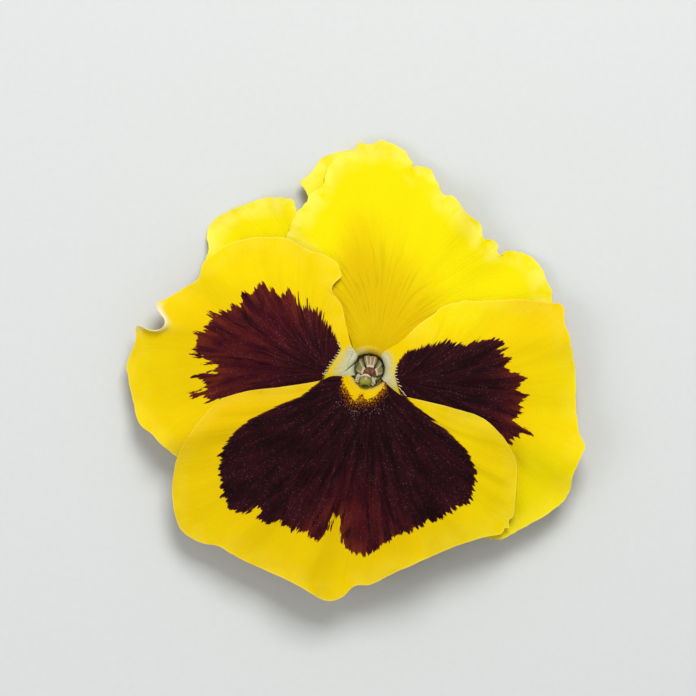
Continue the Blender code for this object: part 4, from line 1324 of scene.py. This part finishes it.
def leaf_look(name, dark, light, ribs):
    """Green leaf skin with a pale midrib, side veins and margin."""
    look = Look(name)
    across, along, _ = look.mark("leaf")
    place = look.place()
    tone = look.noise(place, 900.0, 4.0, 0.6)
    wide = abs(across)
    slanted = look.math("FRACT", along * ribs - wide * 1.7)
    side_vein = abs(slanted - 0.5).ease(0.10, 0.02) * wide.ease(0.95, 0.6) * 0.5
    vein = look.math("MAXIMUM", wide.ease(0.09, 0.02), side_vein)
    colour = look.layered(
        dark,
        (tone, light),
        (vein * 0.6, (0.36, 0.46, 0.10)),
        (wide.ease(0.86, 1.0) * 0.7, (0.52, 0.58, 0.25)),
        (along.ease(0.82, 1.0) * 0.45, (0.16, 0.13, 0.06)),
    )
    pores, _ = look.cells(place, 4800.0)
    look.bump(pores * 0.4 + vein * 0.8, 0.00010, 0.6)
    return look.finish(colour, tone * 0.2 + 0.42, specular=0.35, see_through=0.15)


def add_leaf(name, grid, thickness, look):
    """A leaf-like piece, with marks for how far across and along it each point is."""
    rows, columns = grid.shape[:2]
    marks = {"leaf": both_faces(*np.meshgrid(np.linspace(-1.0, 1.0, columns), steps(rows)))}
    add_piece(name + "_leaf", solid_blade(grid, thickness), marks, look, name)


def sepal_ear(direction, neck, knots, wave):
    """Middle surface of a sepal's ear and of the bend over its seat."""
    share = steps(EAR_ROWS)[:, None]
    line = smooth_curve(knots, share[:, 0])
    half = neck * between(EAR_TIP_SHARE, 1.0, np.minimum(share / 0.5, 1.0))
    half = half * between(0.35, 1.0, np.sqrt(np.clip(share / 0.30, 0.0, 1.0)))
    half = half * (1.0 + 0.05 * np.sin(share * 40.0 + wave))
    return fanned(direction, line[:, :1], half * SEPAL_OVER, line[:, 1:])


def sepal_blade(direction, neck, start, start_height, wave):
    """Middle surface of a sepal along the petals' backs, out to its tip."""
    share = steps(SEPAL_ROWS)[:, None]
    opened = ease(0.0, SEPAL_NECK, share)
    swell = np.sin(math.pi * np.minimum(SEPAL_SWELL_START + SEPAL_SWELL * share, 1.0))
    half = np.maximum(SEPAL_WIDTH / 2 * swell * (1.0 - share**4), SEPAL_TIP_HALF_WIDTH)
    edge = 1.0 + 0.03 * smooth_noise(share * 30.0, share * 0.0, 1.0, wave)
    half = between(neck, half, opened) * edge
    blade = fanned(direction, between(start, SEPAL_REACH, share), half * SEPAL_OVER, 0.0)
    cup = SEPAL_CUP * (1.0 - SEPAL_OVER**2) * opened
    height = face_height(blade[..., 0], blade[..., 1]) + SEPAL_LAYER - cup
    blade[..., 2] = between(start_height, height, ease(0.0, 0.10, share))
    return blade


def make_sepals():
    """Five sepals flat against the petals' backs, each with the ear that it sends backwards."""
    look = leaf_look("sepal_skin", (0.075, 0.14, 0.006), (0.16, 0.25, 0.016), 9.0)
    thickness = between(*SEPAL_THICKNESS, 1.0 - SEPAL_OVER**4)
    for index, (name, direction, neck, ear_length, ear_slant) in enumerate(SEPALS):
        back = on_circle(ear_length, ear_slant - 90)
        ear_knots = [SEPAL_SEAT + share * back for share in (1.0, 0.75, 0.5, 0.25, 0.0)]
        ear = sepal_ear(direction, neck, (*ear_knots, *SEPAL_BEND), index)
        start, start_height = SEPAL_BEND[-1]
        blade = sepal_blade(direction, neck, start + 0.25, start_height, index)
        grid = np.concatenate((ear, blade))
        grid[..., 2] = np.maximum(grid[..., 2], SEPAL_THICKNESS[1] / 2)
        add_leaf(name, grid, thickness, look)


def make_bracteoles():
    """Two small scale leaves that stand up beside the stalk."""
    look = leaf_look("bracteole_skin", (0.10, 0.15, 0.012), (0.22, 0.26, 0.05), 7.0)
    share, over = steps(BRACTEOLE_ROWS)[:, None], np.linspace(-1.0, 1.0, BRACTEOLE_COLUMNS)
    aside, ahead = on_circle(BRACTEOLE_LENGTH, 90 - BRACTEOLE_SPREAD)
    half = BRACTEOLE_WIDTH / 2 * np.sqrt(np.maximum(1.0 - share**2, 0.01))
    half = half * (1.0 + 0.08 * np.sin(share * 25))
    middle = 1.0 - over**2
    for name, side in (("bracteole_left", -1), ("bracteole_right", 1)):
        out = STALK_RADIUS + BRACTEOLE_GAP + share * aside + BRACTEOLE_HOLLOW * middle
        height = STALK_RADIUS + BRACTEOLE_RISE * share + side * half * over
        course = (stalk_x(BRACTEOLE_Y) + side * out, BRACTEOLE_Y + share * ahead, height)
        add_leaf(name, np.dstack(np.broadcast_arrays(*course)), 0.12 + 0.16 * middle, look)


def stalk_x(y):
    """How far the stalk has bent aside at y."""
    return STALK_SWAY * ease(STALK_SWAY_START_Y, STALK_CUT_Y, y)


def stalk_course():
    """Points up the stalk's middle: along the floor, round its hook and to the receptacle."""
    lying = np.linspace(STALK_CUT_Y, HOOK_START_Y, STALK_LYING_POINTS, endpoint=False)
    hook = on_circle(HOOK_RADIUS, np.linspace(-90.0, HOOK_TURN - 90.0, HOOK_POINTS))
    return (
        *((stalk_x(y), y, STALK_LIES_AT) for y in lying),
        *((0.0, HOOK_START_Y + out, STALK_LIES_AT + HOOK_RADIUS + up) for out, up in hook),
        (0.0, 0.0, RECEPTACLE_PROFILE[2][1]),
    )


def stalk_look():
    """Green skin with long streaks, and pale pith where the stalk is cut."""
    look = Look("stalk_skin")
    across, along, cut = look.mark("stalk")
    streak = look.stretched(across * 9.0, along * 16.0, 0.0, 3.0, 0.6)
    grain = look.noise(look.place(), 1500.0, 3.0, 0.6)
    colour = look.layered(
        (0.11, 0.19, 0.012),
        (streak.ease(0.3, 0.7), (0.26, 0.34, 0.05)),
        (grain * 0.3, (0.34, 0.40, 0.12)),
        (cut, look.mix(grain, (0.50, 0.56, 0.22), (0.68, 0.70, 0.42))),
    )
    look.bump(streak + grain * 0.4, 0.00010, 0.6)
    return look.finish(colour, grain * 0.2 + 0.38, specular=0.4, see_through=0.06)


def make_stalk():
    """Ridged stalk with its hook and cut end, and the receptacle that it swells into."""
    look = stalk_look()
    shares = steps(STALK_RINGS)
    radii = np.interp(shares, (0.0, 0.8, 1.0), (STALK_RADIUS, STALK_RADIUS, STALK_NECK_RADIUS))
    radii = radii * (0.98 - 0.02 * smooth_noise(shares * 30.0, shares * 0.0, 1.0, 3))
    rings = tube_rings(stalk_course(), radii, STALK_RINGS, STALK_SIDES, STALK_RIDGES, STALK_RIDGE)
    start, second = rings[:2].mean(axis=1)
    inward = unit(second - start)
    ends = [start + inward * deep + (rings[0] - start) * wide for wide, deep in CUT_END]
    rings = np.concatenate((ends, rings))
    on_cut = np.repeat(np.arange(len(rings)) < len(CUT_END) - 1, STALK_SIDES)
    across = np.cos(turns_round(STALK_SIDES))
    marks = {"stalk": (*over_rings(across, steps(len(rings))), on_cut)}
    add_piece("flower_stalk_skin", solid_rings(rings), marks, look, "flower_stalk")

    shares = steps(RECEPTACLE_RINGS)
    radii, heights = smooth_curve(RECEPTACLE_PROFILE, shares).T
    middle = at_height(np.zeros((RECEPTACLE_RINGS, 2)), heights)
    rings = rings_of(middle, radii, (0.0, 0.0, 1.0), RECEPTACLE_SIDES)
    ridges = np.cos(STALK_RIDGES * turns_round(RECEPTACLE_SIDES))
    marks = {"stalk": over_rings(ridges, 0.2 * shares)}
    add_piece("receptacle_skin", solid_rings(rings), marks, look, "flower_stalk")


def make_camera():
    """Straight above the flower, at the photograph's scale."""
    data = bpy.data.cameras.new("camera")
    data.sensor_width = SENSOR_WIDTH
    data.lens = SENSOR_WIDTH * CAMERA_DISTANCE / (FRAME_PIXELS * MM_PER_PIXEL)
    data.clip_end = 10.0
    camera = bpy.data.objects.new("camera", data)
    middle = FRAME_PIXELS / 2
    camera.location = (
        (middle - THROAT_PIXEL[0]) * MM_PER_PIXEL * MM,
        (THROAT_PIXEL[1] - middle) * MM_PER_PIXEL * MM,
        (THROAT_RIM + CAMERA_DISTANCE) * MM,
    )
    bpy.context.scene.collection.objects.link(camera)
    bpy.context.scene.camera = camera


def area_light(name, place, size, power):
    """A square soft light that points at the flower, with its place in metres."""
    data = bpy.data.lights.new(name, "AREA")
    data.shape = "SQUARE"
    data.size = size
    data.energy = power
    light = bpy.data.objects.new(name, data)
    light.location = place
    light.rotation_euler = (LIGHT_AIM - Vector(place)).to_track_quat("-Z", "Y").to_euler()
    bpy.context.scene.collection.objects.link(light)


def make_studio():
    """Pale floor, a soft sky and two soft lights."""
    corners = [(x * FLOOR_HALF, y * FLOOR_HALF, 0.0) for x, y in ((-1, -1), (1, -1), (1, 1), (-1, 1))]
    floor = new_mesh("floor", (corners, [(0, 1, 2, 3)]), {})
    look = Look("floor_paper")
    grain = look.noise(look.place(), 900.0, 3.0, 0.6)
    paper = look.mix(grain, (0.62, 0.63, 0.61), (0.66, 0.67, 0.65))
    floor.data.materials.append(look.finish(paper, 0.8, specular=0.2))

    world = bpy.data.worlds.new("studio")
    world.use_nodes = True
    sky = world.node_tree.nodes["Background"]
    sky.inputs["Color"].default_value = (*SKY_COLOUR, 1.0)
    sky.inputs["Strength"].default_value = SKY_STRENGTH
    bpy.context.scene.world = world

    area_light("key", (0.10, 0.42, 0.62), 0.34, 4.6)
    area_light("fill", (-0.45, -0.20, 0.50), 0.40, 1.0)
    bpy.context.scene.view_settings.view_transform = "Standard"


make_camera()
make_studio()
make_petals()
make_spur()
make_hairs()
make_stamens()
make_pistil()
make_sepals()
make_bracteoles()
make_stalk()
